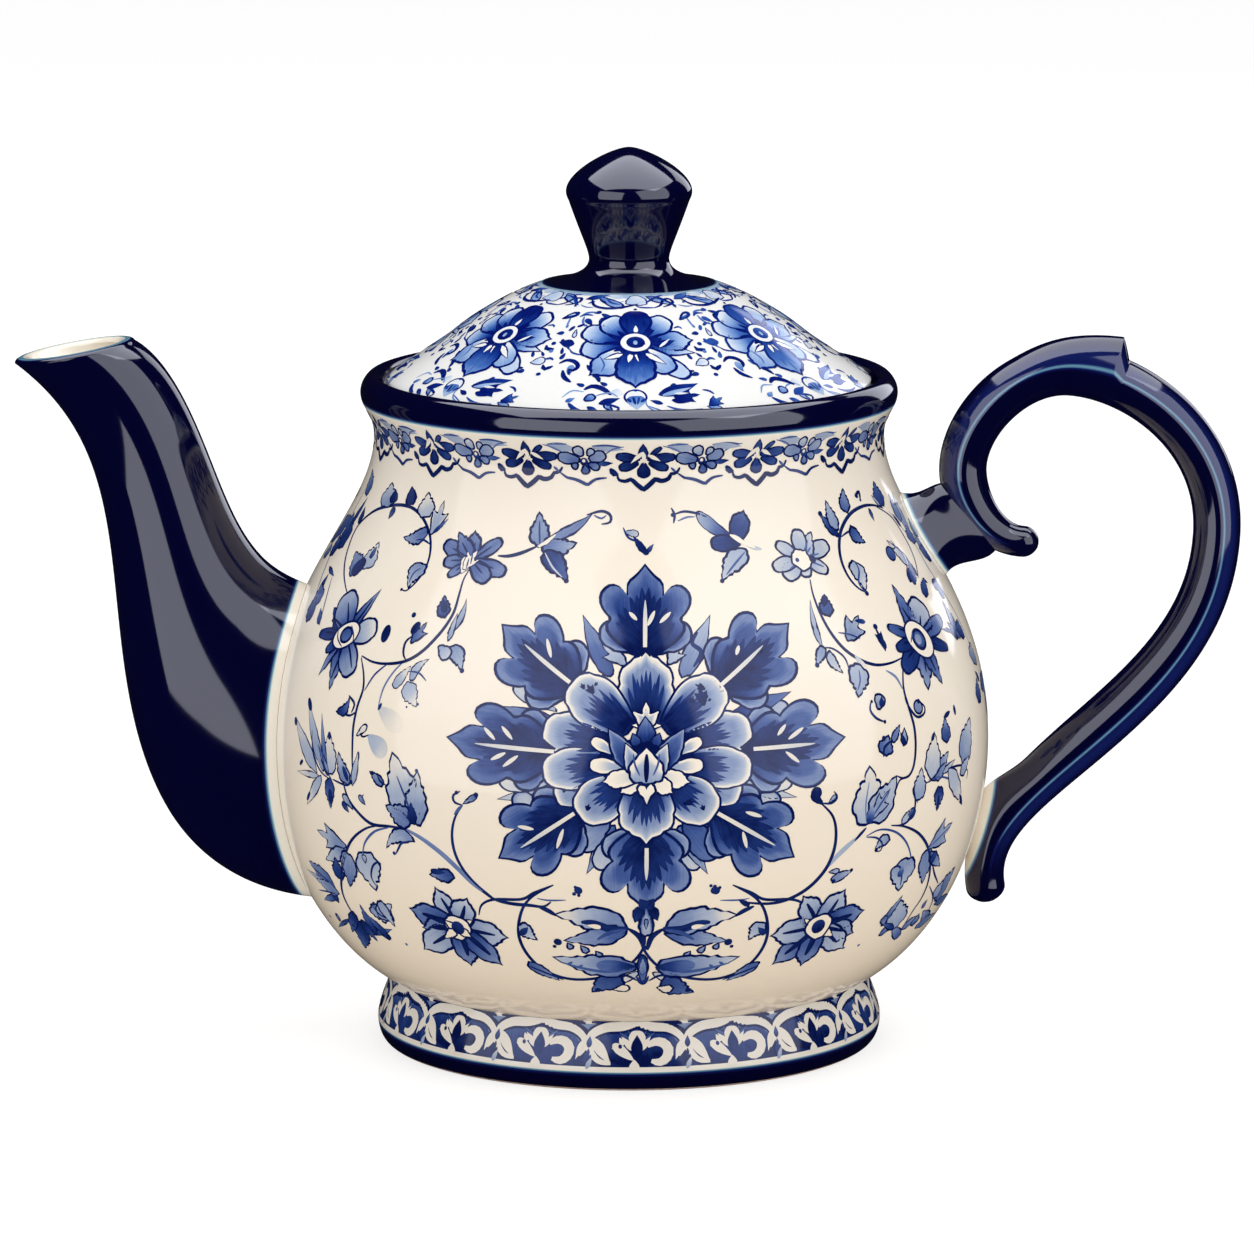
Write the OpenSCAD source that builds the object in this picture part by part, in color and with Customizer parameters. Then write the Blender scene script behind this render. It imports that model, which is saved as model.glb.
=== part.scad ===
// Porcelain teapot with a lift-off lid, a swan-neck spout and a scrolled bow handle.
// Z is up and the foot stands on z = 0 with the pot's axis on the origin. The spout
// points along -X and the handle along +X. Millimetres throughout.

/* [Pot] */
// Diameter of the belly at its widest line
belly_d = 141; // [134:1:148]
// Height of the widest line above the table
belly_z = 60; // [57:1:63]
// Outer diameter of the neck at its narrowest line
neck_d = 99.2; // [95.2:0.4:102.4]
// Height of the neck's narrowest line
neck_z = 120.2; // [117:0.2:124]
// Thickness of the cast wall
wall = 3.8; // [3.2:0.1:4.6]

/* [Foot] */
// Height of the foot, from the table to the crease under the belly
foot_h = 13.4; // [12:0.2:15]
// Diameter of the flared foot at its painted band
foot_d = 99; // [96:0.5:102]
// Radial width of the ring the pot stands on
foot_land = 4; // [3:0.5:5]

/* [Rim] */
// Height of the rolled rim above its joint with the neck
rim_h = 8.6; // [7.8:0.2:9.4]
// How far the roll stands out from the neck
rim_roll = 2.6; // [2:0.1:3.2]
// Width of the ledge that carries the lid
ledge_w = 4.4; // [3.8:0.1:5]

/* [Lid] */
// Height of the dome from its seat to the flat crown under the knob
dome_h = 21; // [19.5:0.5:22.5]
// Depth of the flange that keeps the lid in the mouth
flange_h = 9; // [7:0.5:11]
// Clearance between the resting lid and the pot, radial at the flange
lid_gap = 0.6; // [0.5:0.1:1]
// Diameter of the steam vent
vent_d = 4; // [3:0.5:5]

/* [Knob] */
// Height of the knob above the crown
knob_h = 26.6; // [24:0.2:29]
// Diameter of the knob's cap
knob_d = 24.5; // [22:0.5:27]
// Diameter of the skirt at the knob's base
skirt_d = 34.4; // [31:0.2:36]

/* [Spout] */
// Reach of the pouring tip beyond the belly
spout_reach = 49; // [45:0.5:53]
// Height of the pouring tip above the belly's widest line
spout_rise = 73.8; // [70:0.2:77]
// Width of the spout where it joins the belly
spout_root_w = 34; // [31:0.5:37]
// Width of the spout at the lip
spout_lip_w = 22; // [20:0.5:24]
// Wall of the spout
spout_wall = 3.2; // [2.6:0.1:3.6]
// Diameter of one strainer hole
hole_d = 3.4; // [2.8:0.1:3.8]

/* [Handle] */
// Reach of the bow beyond the belly
handle_reach = 49; // [46:0.5:53]
// Half thickness of the bow where the hand holds it
bow_half = 4.7; // [4.2:0.1:5.2]
// Height of the thumb spur above the scroll
spur_h = 3.8; // [2:0.2:5]

/* [Hidden] */
$fn = 96;

glaze = [0.93, 0.90, 0.84];
cobalt = [0.05, 0.06, 0.25];

belly_r = belly_d / 2;
neck_r = neck_d / 2;
foot_r = foot_d / 2;
waist_r = foot_r - 2.5;          // crease between belly and foot
joint_z = neck_z + 3.4;          // rim sits on the neck here
joint_r = neck_r + 0.8;
ledge_z = joint_z + 4.4;
ledge_r = neck_r - 1.45;         // inner face of the roll
mouth_r = ledge_r - ledge_w;
lid_z = ledge_z + 0.25;          // the lid rests a hair above the ledge
lid_r = ledge_r - 1.1;
crown_z = lid_z + dome_h;
boss_r = foot_r - foot_land - 3.5;
root_z = belly_z - 1;            // middle of the spout's root
sieve_r = 12.4;
floor_z = foot_h + 0.4;
shoulder_z = belly_z + 14;       // belly and shoulder meet here, face to face
seam = 0.06;                     // slip between luted pieces

// ---- curves -------------------------------------------------------------------

// Point at t on a Bezier curve of any degree
function bez(p, t) = len(p) == 1 ? p[0]
    : bez([for (i = [0 : len(p) - 2]) p[i] * (1 - t) + p[i + 1] * t], t);
function curve(p, n) = [for (i = [0 : n]) bez(p, i / n)];
function tail(p) = [for (i = [1 : len(p) - 1]) p[i]];
function back(p) = [for (i = [len(p) - 1 : -1 : 0]) p[i]];
// Direction of travel at point i of an open line
function along(p, i) = let (d = p[min(i + 1, len(p) - 1)] - p[max(i - 1, 0)]) d / norm(d);
// Line moved by d to the left of its direction of travel
function inset(p, d) = [for (i = [0 : len(p) - 1]) let (u = along(p, i)) p[i] + d * [-u.y, u.x]];

// ---- profiles, as [radius, height] --------------------------------------------

belly_low = curve([[waist_r, foot_h], [waist_r + 12.5, foot_h + 6.2],
                   [belly_r, belly_z - 22.3], [belly_r, belly_z]], 20);
belly_top = curve([[belly_r, belly_z], [belly_r, belly_z + 30.6],
                   [neck_r, neck_z - 16.1], [neck_r, neck_z]], 24);
neck_flare = curve([[neck_r, neck_z], [neck_r, neck_z + 2], [joint_r, joint_z]], 4);
pot_line = concat(belly_low, tail(belly_top), tail(neck_flare));
function pot_r(z) = lookup(z, [for (p = pot_line) [p.y, p.x]]);
hollow = [for (p = inset(pot_line, wall)) if (p.y > floor_z + 3 && p.y < joint_z - 1) p];
function hollow_r(z) = lookup(z, [for (p = hollow) [p.y, p.x]]);
function below(p, z) = [for (q = p) if (q.y < z - 0.01) q];
function above(p, z) = [for (q = p) if (q.y > z + 0.01) q];

dome_line = curve([[skirt_d / 2, crown_z], [skirt_d / 2 + 4.1, crown_z - 1],
                   [lid_r - 18.1, crown_z - 5.2], [lid_r - 12.8, crown_z - 9.5]], 12);
brim_line = curve([[lid_r - 12.8, crown_z - 9.5], [lid_r - 8.6, crown_z - 12.9],
                   [lid_r - 0.1, lid_z + 3.5], [lid_r, lid_z + 2.4]], 12);

// ---- skinning -----------------------------------------------------------------

// Surface through a list of equal rings: closed on itself, or capped by two end points
module skin(rings, ends = []) {
    n = len(rings[0]);
    m = len(rings);
    shut = len(ends) == 0;
    wrap = shut ? m : m - 1;
    polyhedron(
        points = concat([for (r = rings) each r], ends),
        faces = concat(
            [for (i = [0 : wrap - 1], j = [0 : n - 1], k = [0, 1])
                let (a = i * n + j, b = i * n + (j + 1) % n, u = (i + 1) % m * n,
                     c = u + (j + 1) % n, d = u + j)
                k == 0 ? [a, b, c] : [a, c, d]],
            shut ? [] : [for (j = [0 : n - 1]) [m * n, (j + 1) % n, j]],
            shut ? [] : [for (j = [0 : n - 1])
                [m * n + 1, (m - 1) * n + j, (m - 1) * n + (j + 1) % n]]),
        convexity = 8);
}

// Point pushed straight out of the belly when it would lie inside it
function outside(p) =
    let (r = norm([p.x, p.y]), need = pot_r(p.z) + seam)
    r >= need ? p : [p.x * need / r, p.y * need / r, p.z];

// ---- spout --------------------------------------------------------------------

// The spout is a loft between its upper and its lower line, both in the plane y = 0
spout_up = [[-6, 30], [9, 37.5], [8.7, 50.6], [15.6, spout_rise - 1.2],
            [spout_reach - 23.4, spout_rise + 4.2]];
spout_low = [[-6.5, -32.3], [30.6, -28.4], [36.4, 19], [18.7, 50.6],
             [spout_reach, spout_rise]];
spout_side = [spout_root_w / 2, 16.5, 5.5, 10.6, spout_lip_w / 2];
blend = 0.16;

function spout_at(t, a, trim) =
    let (u = bez(spout_up, t), l = bez(spout_low, 1 - pow(1 - t, 1.7)),
         c = (u + l) / 2, h = (u - l) / 2, k = 1 - trim / norm(h),
         w = bez(spout_side, t) - trim, q = c + h * k * cos(a))
    [-belly_r - q.x, w * sin(a), belly_z + q.y];
// Near its root the loft leans over to end on the belly's own surface
function spout_point(t, a, trim) =
    let (s = spout_at(t, a, trim), s0 = spout_at(0, a, trim), r0 = pot_r(s0.z) + seam,
         b = [-sqrt(r0 * r0 - s0.y * s0.y), s0.y, s0.z],
         k = t < blend ? pow(1 - t / blend, 2) : 0)
    outside(s + (b - s0) * k);
function spout_ring(t, trim, lift = 0) =
    [for (i = [0 : 31]) spout_point(t, -i * 360 / 32, trim) + [-0.2 * lift, 0, lift]];

// ---- handle -------------------------------------------------------------------

// The bow is drawn with its middle line 44.3 beyond the belly and grows from there
bow_size = (handle_reach - bow_half) / 44.3;
// Knots from finger tip to tail: [x beyond belly, z above belly, share of the bow's
// thickness, heading, arm before, arm after]
bow_drawn = [[6.6, 38.5, 0.66, 178, 0, 6.2],
             [-5.3, 52, 1, 94, 6, 9.3],
             [15.4, 72.2, 1.065, -4, 11.1, 12.5],
             [44.3, 39.8, 1, -93, 19.9, 16.4],
             [22, 2, 1.105, -138, 15.9, 17.5],
             [-0.2, -30.4, 0.83, -80, 12.4, 0]];
bow = [for (p = bow_drawn) [p[0] * bow_size, p[1] * bow_size, p[2] * bow_half, p[3],
                            p[4] * bow_size, p[5] * bow_size]];
function heading(a) = [cos(a), sin(a)];
function leg(i) = let (p = bow[i], q = bow[i + 1])
    [[p.x, p.y], [p.x, p.y] + heading(p[3]) * p[5],
     [q.x, q.y] - heading(q[3]) * q[4], [q.x, q.y]];
function bow_at(s) = let (i = min(floor(s), 4)) bez(leg(i), s - i);
function bow_dir(s) = let (d = bow_at(min(s + 0.01, 5)) - bow_at(max(s - 0.01, 0))) d / norm(d);
function bow_thick(s) = let (i = min(floor(s), 4), t = s - i)
    bow[i][2] + (bow[i + 1][2] - bow[i][2]) * t * t * (3 - 2 * t);
// The spur rises slowly along the scroll and breaks off short behind the thumb
function spur(s) = s < 1.7 || s > 2.24 ? 0
    : s < 2.19 ? spur_h * pow((s - 1.7) / 0.49, 1.6) : spur_h * (2.24 - s) / 0.05;
// Heel of clay that beds the lower end against the belly
function heel(s) = s < 4.3 || s > 4.85 ? 0
    : bow_size * 2.4 * pow(sin(180 * (s - 4.3) / 0.55), 2);
function flat(v, n) = sign(v) * pow(abs(v), 2 / n);
// Ring at s, carried on past an end by `past` and drawn in to round that end off
function bow_ring(s, past = 0, draw = 1) =
    let (d = bow_dir(s), c = bow_at(s) + d * past, out = [-d.y, d.x],
         h = bow_thick(s) * draw, w = h * 1.06)
    [for (i = [0 : 19]) let (a = i * 18, e = flat(cos(a), 1.85),
            q = c + out * e * (h + (e > 0 ? spur(s) : heel(s))))
        outside([belly_r + q.x, w * flat(sin(a), 1.85), belly_z + q.y])];
bow_steps = concat([for (i = [0 : 28]) i * 0.076], [2.16, 2.18, 2.2, 2.22, 2.24],
                   [for (i = [0 : 38]) 2.3 + i * 2.7 / 38]);
// Rounded ends: [how far past, how much of the section is left]
bow_end = [[1.2, 0.91], [2.1, 0.7], [2.8, 0.38]];
function bow_tip(s, past) = let (q = bow_at(s) + bow_dir(s) * past)
    [belly_r + q.x, 0, belly_z + q.y];

// The lug carries the scroll: an oval stub from the shoulder into the scroll's back
lug_z = belly_z + 40.1 * bow_size;
lug_top = [belly_r - 2.4 * bow_size, belly_z + 43.6 * bow_size];
function lug_ring(t) =
    let (low = [pot_r(lug_z), lug_z], c = bez([low, (low + lug_top) / 2, lug_top], t),
         h = bez([[-4.6, 8.1], [-3.2, 5.6], [-5.4, 9], [-4, 6.2]], t) * bow_size,
         w = bez([7, 4.4, 4.8, 3.2], t) * bow_size)
    [for (i = [0 : 19]) let (a = i * 18, q = c + h * cos(a), p = [q.x, w * sin(a), q.y],
            r = pot_r(p.z) + seam)
        t == 0 ? [sqrt(r * r - p.y * p.y), p.y, p.z] : outside(p)];

// ---- sub-parts ----------------------------------------------------------------

module belly_shell() {
    rotate_extrude()
        polygon(concat(below(pot_line, shoulder_z),
                       [[pot_r(shoulder_z), shoulder_z], [hollow_r(shoulder_z), shoulder_z]],
                       back(below(hollow, shoulder_z)),
                       [[waist_r - 5, floor_z + 0.4], [waist_r - 12, floor_z], [0, floor_z],
                        [0, floor_z - 4.6], [boss_r, floor_z - 4.6], [boss_r, foot_h]]));
}

module sieve_bore(r) {
    translate([-belly_r / 2, 0, root_z])
        rotate([0, -90, 0])
            cylinder(h = belly_r, r = r);
}

module pot_belly() {
    color(glaze)
        difference() {
            belly_shell();
            sieve_bore(sieve_r);
        }
}

module pot_shoulder() {
    color(glaze)
        rotate_extrude()
            polygon(concat([[pot_r(shoulder_z), shoulder_z]], above(pot_line, shoulder_z),
                           [[joint_r - wall, joint_z]], back(above(hollow, shoulder_z)),
                           [[hollow_r(shoulder_z), shoulder_z]]));
}

module foot_ring() {
    color(glaze)
        rotate_extrude()
            polygon(concat(
                curve([[foot_r - 2, 0], [foot_r - 0.2, 0.6], [foot_r, 4]], 5),
                tail(curve([[foot_r, 4], [foot_r - 0.4, 8], [waist_r + 0.4, foot_h - 3.5],
                            [waist_r, foot_h]], 8)),
                [[boss_r + seam, foot_h], [boss_r + seam, foot_h - 5],
                 [foot_r - foot_land - 1.8, 1.4], [foot_r - foot_land - 1, 0]]));
}

module rim_collar() {
    top = joint_z + rim_h;
    roll = joint_r + rim_roll - 1;
    color(cobalt)
        rotate_extrude()
            polygon(concat(
                [[joint_r, joint_z]],
                curve([[joint_r + 1, joint_z + 2], [roll + 0.5, joint_z + 3.4],
                       [roll + 0.6, top - 1.8], [roll - 0.6, top - 0.7]], 8),
                tail(curve([[roll - 0.6, top - 0.7], [roll - 1.4, top], [ledge_r + 1.2, top + 0.1],
                            [ledge_r, top - 1.3]], 7)),
                [[ledge_r - 0.1, ledge_z + 0.4], [ledge_r - 0.5, ledge_z],
                 [mouth_r + 0.6, ledge_z], [mouth_r, ledge_z - 0.6], [mouth_r, ledge_z - 1.8],
                 [mouth_r + 0.8, ledge_z - 2.6], [joint_r - wall, joint_z]]));
}

module spout() {
    steps = [for (i = [0 : 27]) pow(i / 27, 1.4)];
    outer = [for (t = steps) spout_ring(t, 0)];
    inner = [for (t = back(steps)) spout_ring(t, spout_wall)];
    lip = [spout_ring(1, 0.35, 0.5), spout_ring(1, spout_wall / 2, 0.8),
           spout_ring(1, spout_wall - 0.35, 0.5)];
    color(cobalt) skin(concat(outer, lip, inner));
}

module spout_strainer() {
    pitch = hole_d + 1.5;
    color(glaze)
        difference() {
            intersection() {
                belly_shell();
                sieve_bore(sieve_r - seam);
            }
            sieve_bore(hole_d / 2);
            for (k = [0 : 5]) {
                for (spot = [[pitch, k * 60], [2 * pitch, k * 60], [sqrt(3) * pitch, k * 60 + 30]])
                    translate([0, spot[0] * cos(spot[1]), spot[0] * sin(spot[1])])
                        sieve_bore(hole_d / 2);
            }
        }
}

module handle() {
    color(cobalt)
        union() {
            skin(concat([for (e = back(bow_end)) bow_ring(0, -e[0], e[1])],
                        [for (s = bow_steps) bow_ring(s)],
                        [for (e = bow_end) bow_ring(5, e[0], e[1])]),
                 [bow_tip(0, -3), bow_tip(5, 3)]);
            skin([for (t = [0 : 0.125 : 1]) lug_ring(t)],
                 [[pot_r(lug_z) + seam, 0, lug_z], [lug_top.x, 0, lug_top.y]]);
        }
}

module lid_dome() {
    under = lid_z + dome_h - wall;
    color(glaze)
        difference() {
            rotate_extrude()
                polygon(concat(
                    [[0, crown_z]], dome_line, tail(brim_line),
                    [[lid_r - 0.1, lid_z + 1.2], [lid_r - 0.9, lid_z],
                     [mouth_r - lid_gap - 3, lid_z]],
                    curve([[mouth_r - lid_gap - 3, lid_z], [lid_r - 8.5, lid_z + 3.4],
                           [lid_r - 20, under - 4.2], [skirt_d / 2 - 1, under]], 12),
                    [[0, under]]));
            translate([0, lid_r - 16, lid_z - 1])
                cylinder(h = dome_h, d = vent_d);
        }
}

module lid_flange() {
    r = mouth_r - lid_gap;
    color(glaze)
        rotate_extrude()
            polygon([[r - 3, lid_z], [r, lid_z], [r - 0.3, lid_z - flange_h + 0.8],
                     [r - 0.9, lid_z - flange_h], [r - 2.5, lid_z - flange_h],
                     [r - 3, lid_z - flange_h + 0.6]]);
}

module lid_knob() {
    r = knob_d / 2;
    top = crown_z + knob_h;
    color(cobalt)
        rotate_extrude()
            polygon(concat(
                [[0, crown_z], [skirt_d / 2 - 0.2, crown_z]],
                curve([[skirt_d / 2, crown_z + 0.2], [skirt_d / 2 - 3.5, crown_z + 0.8],
                       [r - 4.45, crown_z + 1.7], [r - 4.45, crown_z + 4.9]], 10),
                tail(curve([[r - 4.45, crown_z + 4.9], [r - 4.45, crown_z + 6.5],
                            [r - 2.9, top - 17.2], [r - 0.55, top - 10.4]], 6)),
                tail(curve([[r - 0.55, top - 10.4], [r - 0.3, top - 9.8], [r, top - 9.4],
                            [r, top - 8.6]], 5)),
                tail(curve([[r, top - 8.6], [r, top - 4.6], [3, top], [0, top]], 14))));
}

pot_belly();
pot_shoulder();
foot_ring();
rim_collar();
spout();
spout_strainer();
handle();
lid_dome();
lid_flange();
lid_knob();
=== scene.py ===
"""Porcelain teapot with underglaze blue flower painting: glazed shells, brushwork, studio.

Lengths in this file are millimetres until a mesh is made; Blender gets metres.
"""

import bpy
import numpy as np
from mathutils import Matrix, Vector


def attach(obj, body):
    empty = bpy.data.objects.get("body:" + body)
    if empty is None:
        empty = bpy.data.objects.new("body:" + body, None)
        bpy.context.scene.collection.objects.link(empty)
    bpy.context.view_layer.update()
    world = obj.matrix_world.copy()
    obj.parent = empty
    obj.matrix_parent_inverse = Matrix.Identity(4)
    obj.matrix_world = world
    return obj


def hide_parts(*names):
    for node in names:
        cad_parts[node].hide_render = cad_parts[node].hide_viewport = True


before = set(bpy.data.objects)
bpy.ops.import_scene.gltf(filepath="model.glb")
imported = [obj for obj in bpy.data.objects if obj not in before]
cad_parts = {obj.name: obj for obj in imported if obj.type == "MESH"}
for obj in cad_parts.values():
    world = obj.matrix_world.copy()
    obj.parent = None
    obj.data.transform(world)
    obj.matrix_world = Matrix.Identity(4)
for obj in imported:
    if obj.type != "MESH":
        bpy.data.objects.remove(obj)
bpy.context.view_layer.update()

MM = 0.001
TAU = 2 * np.pi

# ---- sizes, as the solids have them ---------------------------------------------------
#
# Only the belly, 0.13 slimmer for its paint, and the bow, 0.06 slimmer, stay inside theirs.

BELLY_R, BELLY_Z, NECK_R, NECK_Z = 70.37, 60.0, 49.6, 120.2
FOOT_R, FOOT_H, FOOT_LAND, WALL = 49.5, 13.4, 4.0, 3.8
WAIST_R, JOINT_Z, JOINT_R = 47.0, 123.6, 50.4
LEDGE_Z, LEDGE_R, MOUTH_R = 128.0, 48.15, 43.75
RIM_TOP, RIM_ROLL = 132.2, 52.0
LID_Z, LID_R, CROWN_Z, LID_GAP = 128.25, 47.05, 149.25, 0.6
SKIRT_R, KNOB_R, KNOB_TOP = 17.2, 12.25, 175.85
BOSS_R, SEAM = 42.0, 0.06
RIM_PAINT = 126.4  # the cobalt of the rim ends here, a little above the joint
BAND_Z, WIPED_Z = 4.0, 0.5  # the foot is painted above the one and bare below the other
VENT_R, VENT_Y = 2.0, LID_R - 16
EAVE = [LID_R - 12.8, CROWN_Z - 9.5]  # where the lid's dome bends over to its edge


def bez(points, t):
    """Bezier curve: neighbouring points are blended in pairs until one is left."""
    t = np.asarray(t, float)
    p = [np.multiply.outer(np.ones_like(t), np.asarray(q, float)) for q in points]
    t = t.reshape(t.shape + (1,) * (p[0].ndim - t.ndim))
    while len(p) > 1:
        p = [a * (1 - t) + b * t for a, b in zip(p[:-1], p[1:])]
    return p[0]


def curve(points, n):
    """n steps along a Bezier curve, as an array of points."""
    return bez(points, np.linspace(0, 1, n + 1))


def line(*parts):
    """Curves and points joined into one line, doubled joints dropped."""
    rows = np.concatenate([np.atleast_2d(np.asarray(p, float)) for p in parts])
    keep = np.r_[True, np.linalg.norm(np.diff(rows, axis=0), axis=1) > 1e-6]
    return rows[keep]


def inset(rows, d):
    """A line moved by d to the left of its direction of travel."""
    way = np.gradient(rows, axis=0)
    way /= np.linalg.norm(way, axis=1, keepdims=True)
    return rows + d * np.stack([-way[:, 1], way[:, 0]], 1)


# ---- profiles, as [radius, height] from the bottom up ---------------------------------

belly_line = line(
    curve([[WAIST_R, FOOT_H], [WAIST_R + 12.5, FOOT_H + 6.2],
           [BELLY_R, BELLY_Z - 22.3], [BELLY_R, BELLY_Z]], 70),
    curve([[BELLY_R, BELLY_Z], [BELLY_R, BELLY_Z + 30.6],
           [NECK_R, NECK_Z - 16.1], [NECK_R, NECK_Z]], 90),
    curve([[NECK_R, NECK_Z], [NECK_R, NECK_Z + 2], [JOINT_R, JOINT_Z]], 8))
foot_line = line(
    curve([[FOOT_R - 2, 0], [FOOT_R - 0.2, 0.6], [FOOT_R, BAND_Z]], 12),
    curve([[FOOT_R, BAND_Z], [FOOT_R - 0.4, 8], [WAIST_R + 0.4, FOOT_H - 3.5],
           [WAIST_R, FOOT_H]], 24))
rim_line = line(
    [[JOINT_R, JOINT_Z]],
    curve([[JOINT_R + 1, JOINT_Z + 2], [RIM_ROLL + 0.2, JOINT_Z + 3.2],
           [RIM_ROLL + 0.7, RIM_TOP - 3.6], [RIM_ROLL - 0.3, RIM_TOP - 1.9]], 24),
    curve([[RIM_ROLL - 0.3, RIM_TOP - 1.9], [RIM_ROLL - 1.2, RIM_TOP - 0.3],
           [LEDGE_R + 1.3, RIM_TOP + 0.3], [LEDGE_R, RIM_TOP - 1.3]], 24))
dome_line = line(
    curve([[SKIRT_R, CROWN_Z], [SKIRT_R + 4.1, CROWN_Z - 1],
           [LID_R - 18.1, CROWN_Z - 5.2], EAVE], 36),
    curve([EAVE, [LID_R - 8.6, CROWN_Z - 12.9], [LID_R - 0.1, LID_Z + 3.5],
           [LID_R, LID_Z + 2.4]], 36))
knob_line = line(
    curve([[SKIRT_R, CROWN_Z + 0.2], [SKIRT_R - 3.5, CROWN_Z + 0.8],
           [KNOB_R - 4.45, CROWN_Z + 1.7], [KNOB_R - 4.45, CROWN_Z + 4.9]], 30),
    curve([[KNOB_R - 4.45, CROWN_Z + 4.9], [KNOB_R - 4.45, CROWN_Z + 6.5],
           [KNOB_R - 2.9, KNOB_TOP - 17.2], [KNOB_R - 0.55, KNOB_TOP - 10.4]], 24),
    curve([[KNOB_R - 0.55, KNOB_TOP - 10.4], [KNOB_R - 0.3, KNOB_TOP - 9.8],
           [KNOB_R, KNOB_TOP - 9.4], [KNOB_R, KNOB_TOP - 8.6]], 10),
    curve([[KNOB_R, KNOB_TOP - 8.6], [KNOB_R, KNOB_TOP - 4.6], [3, KNOB_TOP],
           [0, KNOB_TOP]], 40))


def pot_r(z):
    """Radius of the pot's outer face at height z."""
    return np.interp(z, belly_line[:, 1], belly_line[:, 0])


def outside(p):
    """Points pushed straight out of the belly where they would lie inside it."""
    r = np.hypot(p[..., 0], p[..., 1])
    grow = np.maximum(1, (pot_r(p[..., 2]) + SEAM) / np.maximum(r, 1e-6))
    return p * np.stack([grow, grow, np.ones_like(grow)], -1)


# ---- meshes ---------------------------------------------------------------------------

def mesh_piece(name, points, faces, body, nodes=(), maps=None, inks=None, normals=None):
    """Mesh from an array of points in mm and arrays of faces, riding on a CAD body.

    nodes are the solids it replaces, maps its UV maps and inks its painted strength.
    """
    me = bpy.data.meshes.new(name)
    me.vertices.add(len(points))
    me.vertices.foreach_set("co", (points * MM).astype(np.float32).ravel())
    corners = np.concatenate([f.ravel() for f in faces]).astype(np.int32)
    sizes = np.concatenate([np.full(len(f), f.shape[1]) for f in faces])
    me.loops.add(len(corners))
    me.loops.foreach_set("vertex_index", corners)
    me.polygons.add(len(sizes))
    me.polygons.foreach_set("loop_start", np.r_[0, np.cumsum(sizes)[:-1]].astype(np.int32))
    me.update(calc_edges=True)
    me.polygons.foreach_set("use_smooth", np.ones(len(sizes), bool))
    if inks is not None:
        me.attributes.new("ink", "FLOAT", "POINT").data.foreach_set(
            "value", inks.astype(np.float32))
    for label, at in (maps or {}).items():
        me.uv_layers.new(name=label).uv.foreach_set(
            "vector", at[corners].astype(np.float32).ravel())
    if normals is None:
        me.set_sharp_from_angle(angle=np.radians(38))
    else:
        me.normals_split_custom_set_from_vertices(normals.tolist())
    ob = bpy.data.objects.new(name, me)
    bpy.context.scene.collection.objects.link(ob)
    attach(ob, body)
    if nodes:
        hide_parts(*nodes)
    return ob


def grid_faces(rows, cols, wrap_rows=False, wrap_cols=True):
    """Quads between neighbouring rows and columns of a grid of points."""
    i = np.arange(rows if wrap_rows else rows - 1)[:, None]
    j = np.arange(cols if wrap_cols else cols - 1)[None, :]
    a, b = i % rows * cols, (i + 1) % rows * cols
    k = (j + 1) % cols
    return np.stack([a + j, a + k, b + k, b + j], -1).reshape(-1, 4)


def outward(points, faces):
    """Faces turned over if the closed shell they make has a negative volume."""
    vol = 0
    for f in faces:
        for k in range(1, f.shape[1] - 1):
            a, b, c = points[f[:, 0]], points[f[:, k]], points[f[:, k + 1]]
            vol += (a * np.cross(b, c)).sum()
    return faces if vol > 0 else [f[:, ::-1] for f in faces]


def turned(name, rows, sides, body, nodes):
    """Closed shell of revolution: x = r sin a, y = -r cos a, z = height.

    A profile whose ends lie on the axis gets a pole at each; any other is a closed loop.
    """
    poled = rows[0, 0] < 1e-6 and rows[-1, 0] < 1e-6
    ring = rows[1:-1] if poled else rows
    a = np.linspace(0, TAU, sides, endpoint=False)
    r, z = ring[:, :1], ring[:, 1:]
    pts = np.stack([r * np.sin(a), -r * np.cos(a), z + 0 * a], -1).reshape(-1, 3)
    faces = [grid_faces(len(ring), sides, wrap_rows=not poled)]
    if poled:
        n = len(pts)
        j = np.arange(sides)
        k = (j + 1) % sides
        last = n - sides
        pts = np.concatenate([pts, [[0, 0, rows[0, 1]], [0, 0, rows[-1, 1]]]])
        faces += [np.stack([k, j, 0 * j + n], 1),
                  np.stack([last + j, last + k, 0 * j + n + 1], 1)]
    return mesh_piece(name, pts, outward(pts, faces), body, nodes)


def skinned(name, rings, body, nodes, ends=None):
    """Closed surface through equal rings: shut on itself, or capped by two end points."""
    m, n = rings.shape[:2]
    pts = rings.reshape(-1, 3)
    faces = [grid_faces(m, n, wrap_rows=ends is None)]
    if ends is not None:
        j = np.arange(n)
        k = (j + 1) % n
        pts = np.concatenate([pts, ends])
        faces += [np.stack([k, j, 0 * j + m * n], 1),
                  np.stack([(m - 1) * n + j, (m - 1) * n + k, 0 * j + m * n + 1], 1)]
    return mesh_piece(name, pts, outward(pts, faces), body, nodes)


def thin_glaze(ob, amount):
    """Stores on a mesh how thin its glaze lies, from amount(points in mm)."""
    me = ob.data
    co = np.empty(3 * len(me.vertices), np.float32)
    me.vertices.foreach_get("co", co)
    thin = np.clip(amount(co.reshape(-1, 3) / MM), 0, 1).astype(np.float32)
    me.attributes.new("thin", "FLOAT", "POINT").data.foreach_set("value", thin)


def glaze_bands(ob, mats, heights):
    """Gives a shell one material above each height in mm, and the last one below."""
    me = ob.data
    me.materials.clear()
    for mat in mats:
        me.materials.append(mat)
    at = np.empty(3 * len(me.polygons), np.float32)
    me.polygons.foreach_get("center", at)
    z = at[2::3] / MM
    band = sum((z < h).astype(np.int32) for h in heights)
    me.polygons.foreach_set("material_index", band)


# ---- glazed shells --------------------------------------------------------------------

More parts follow.
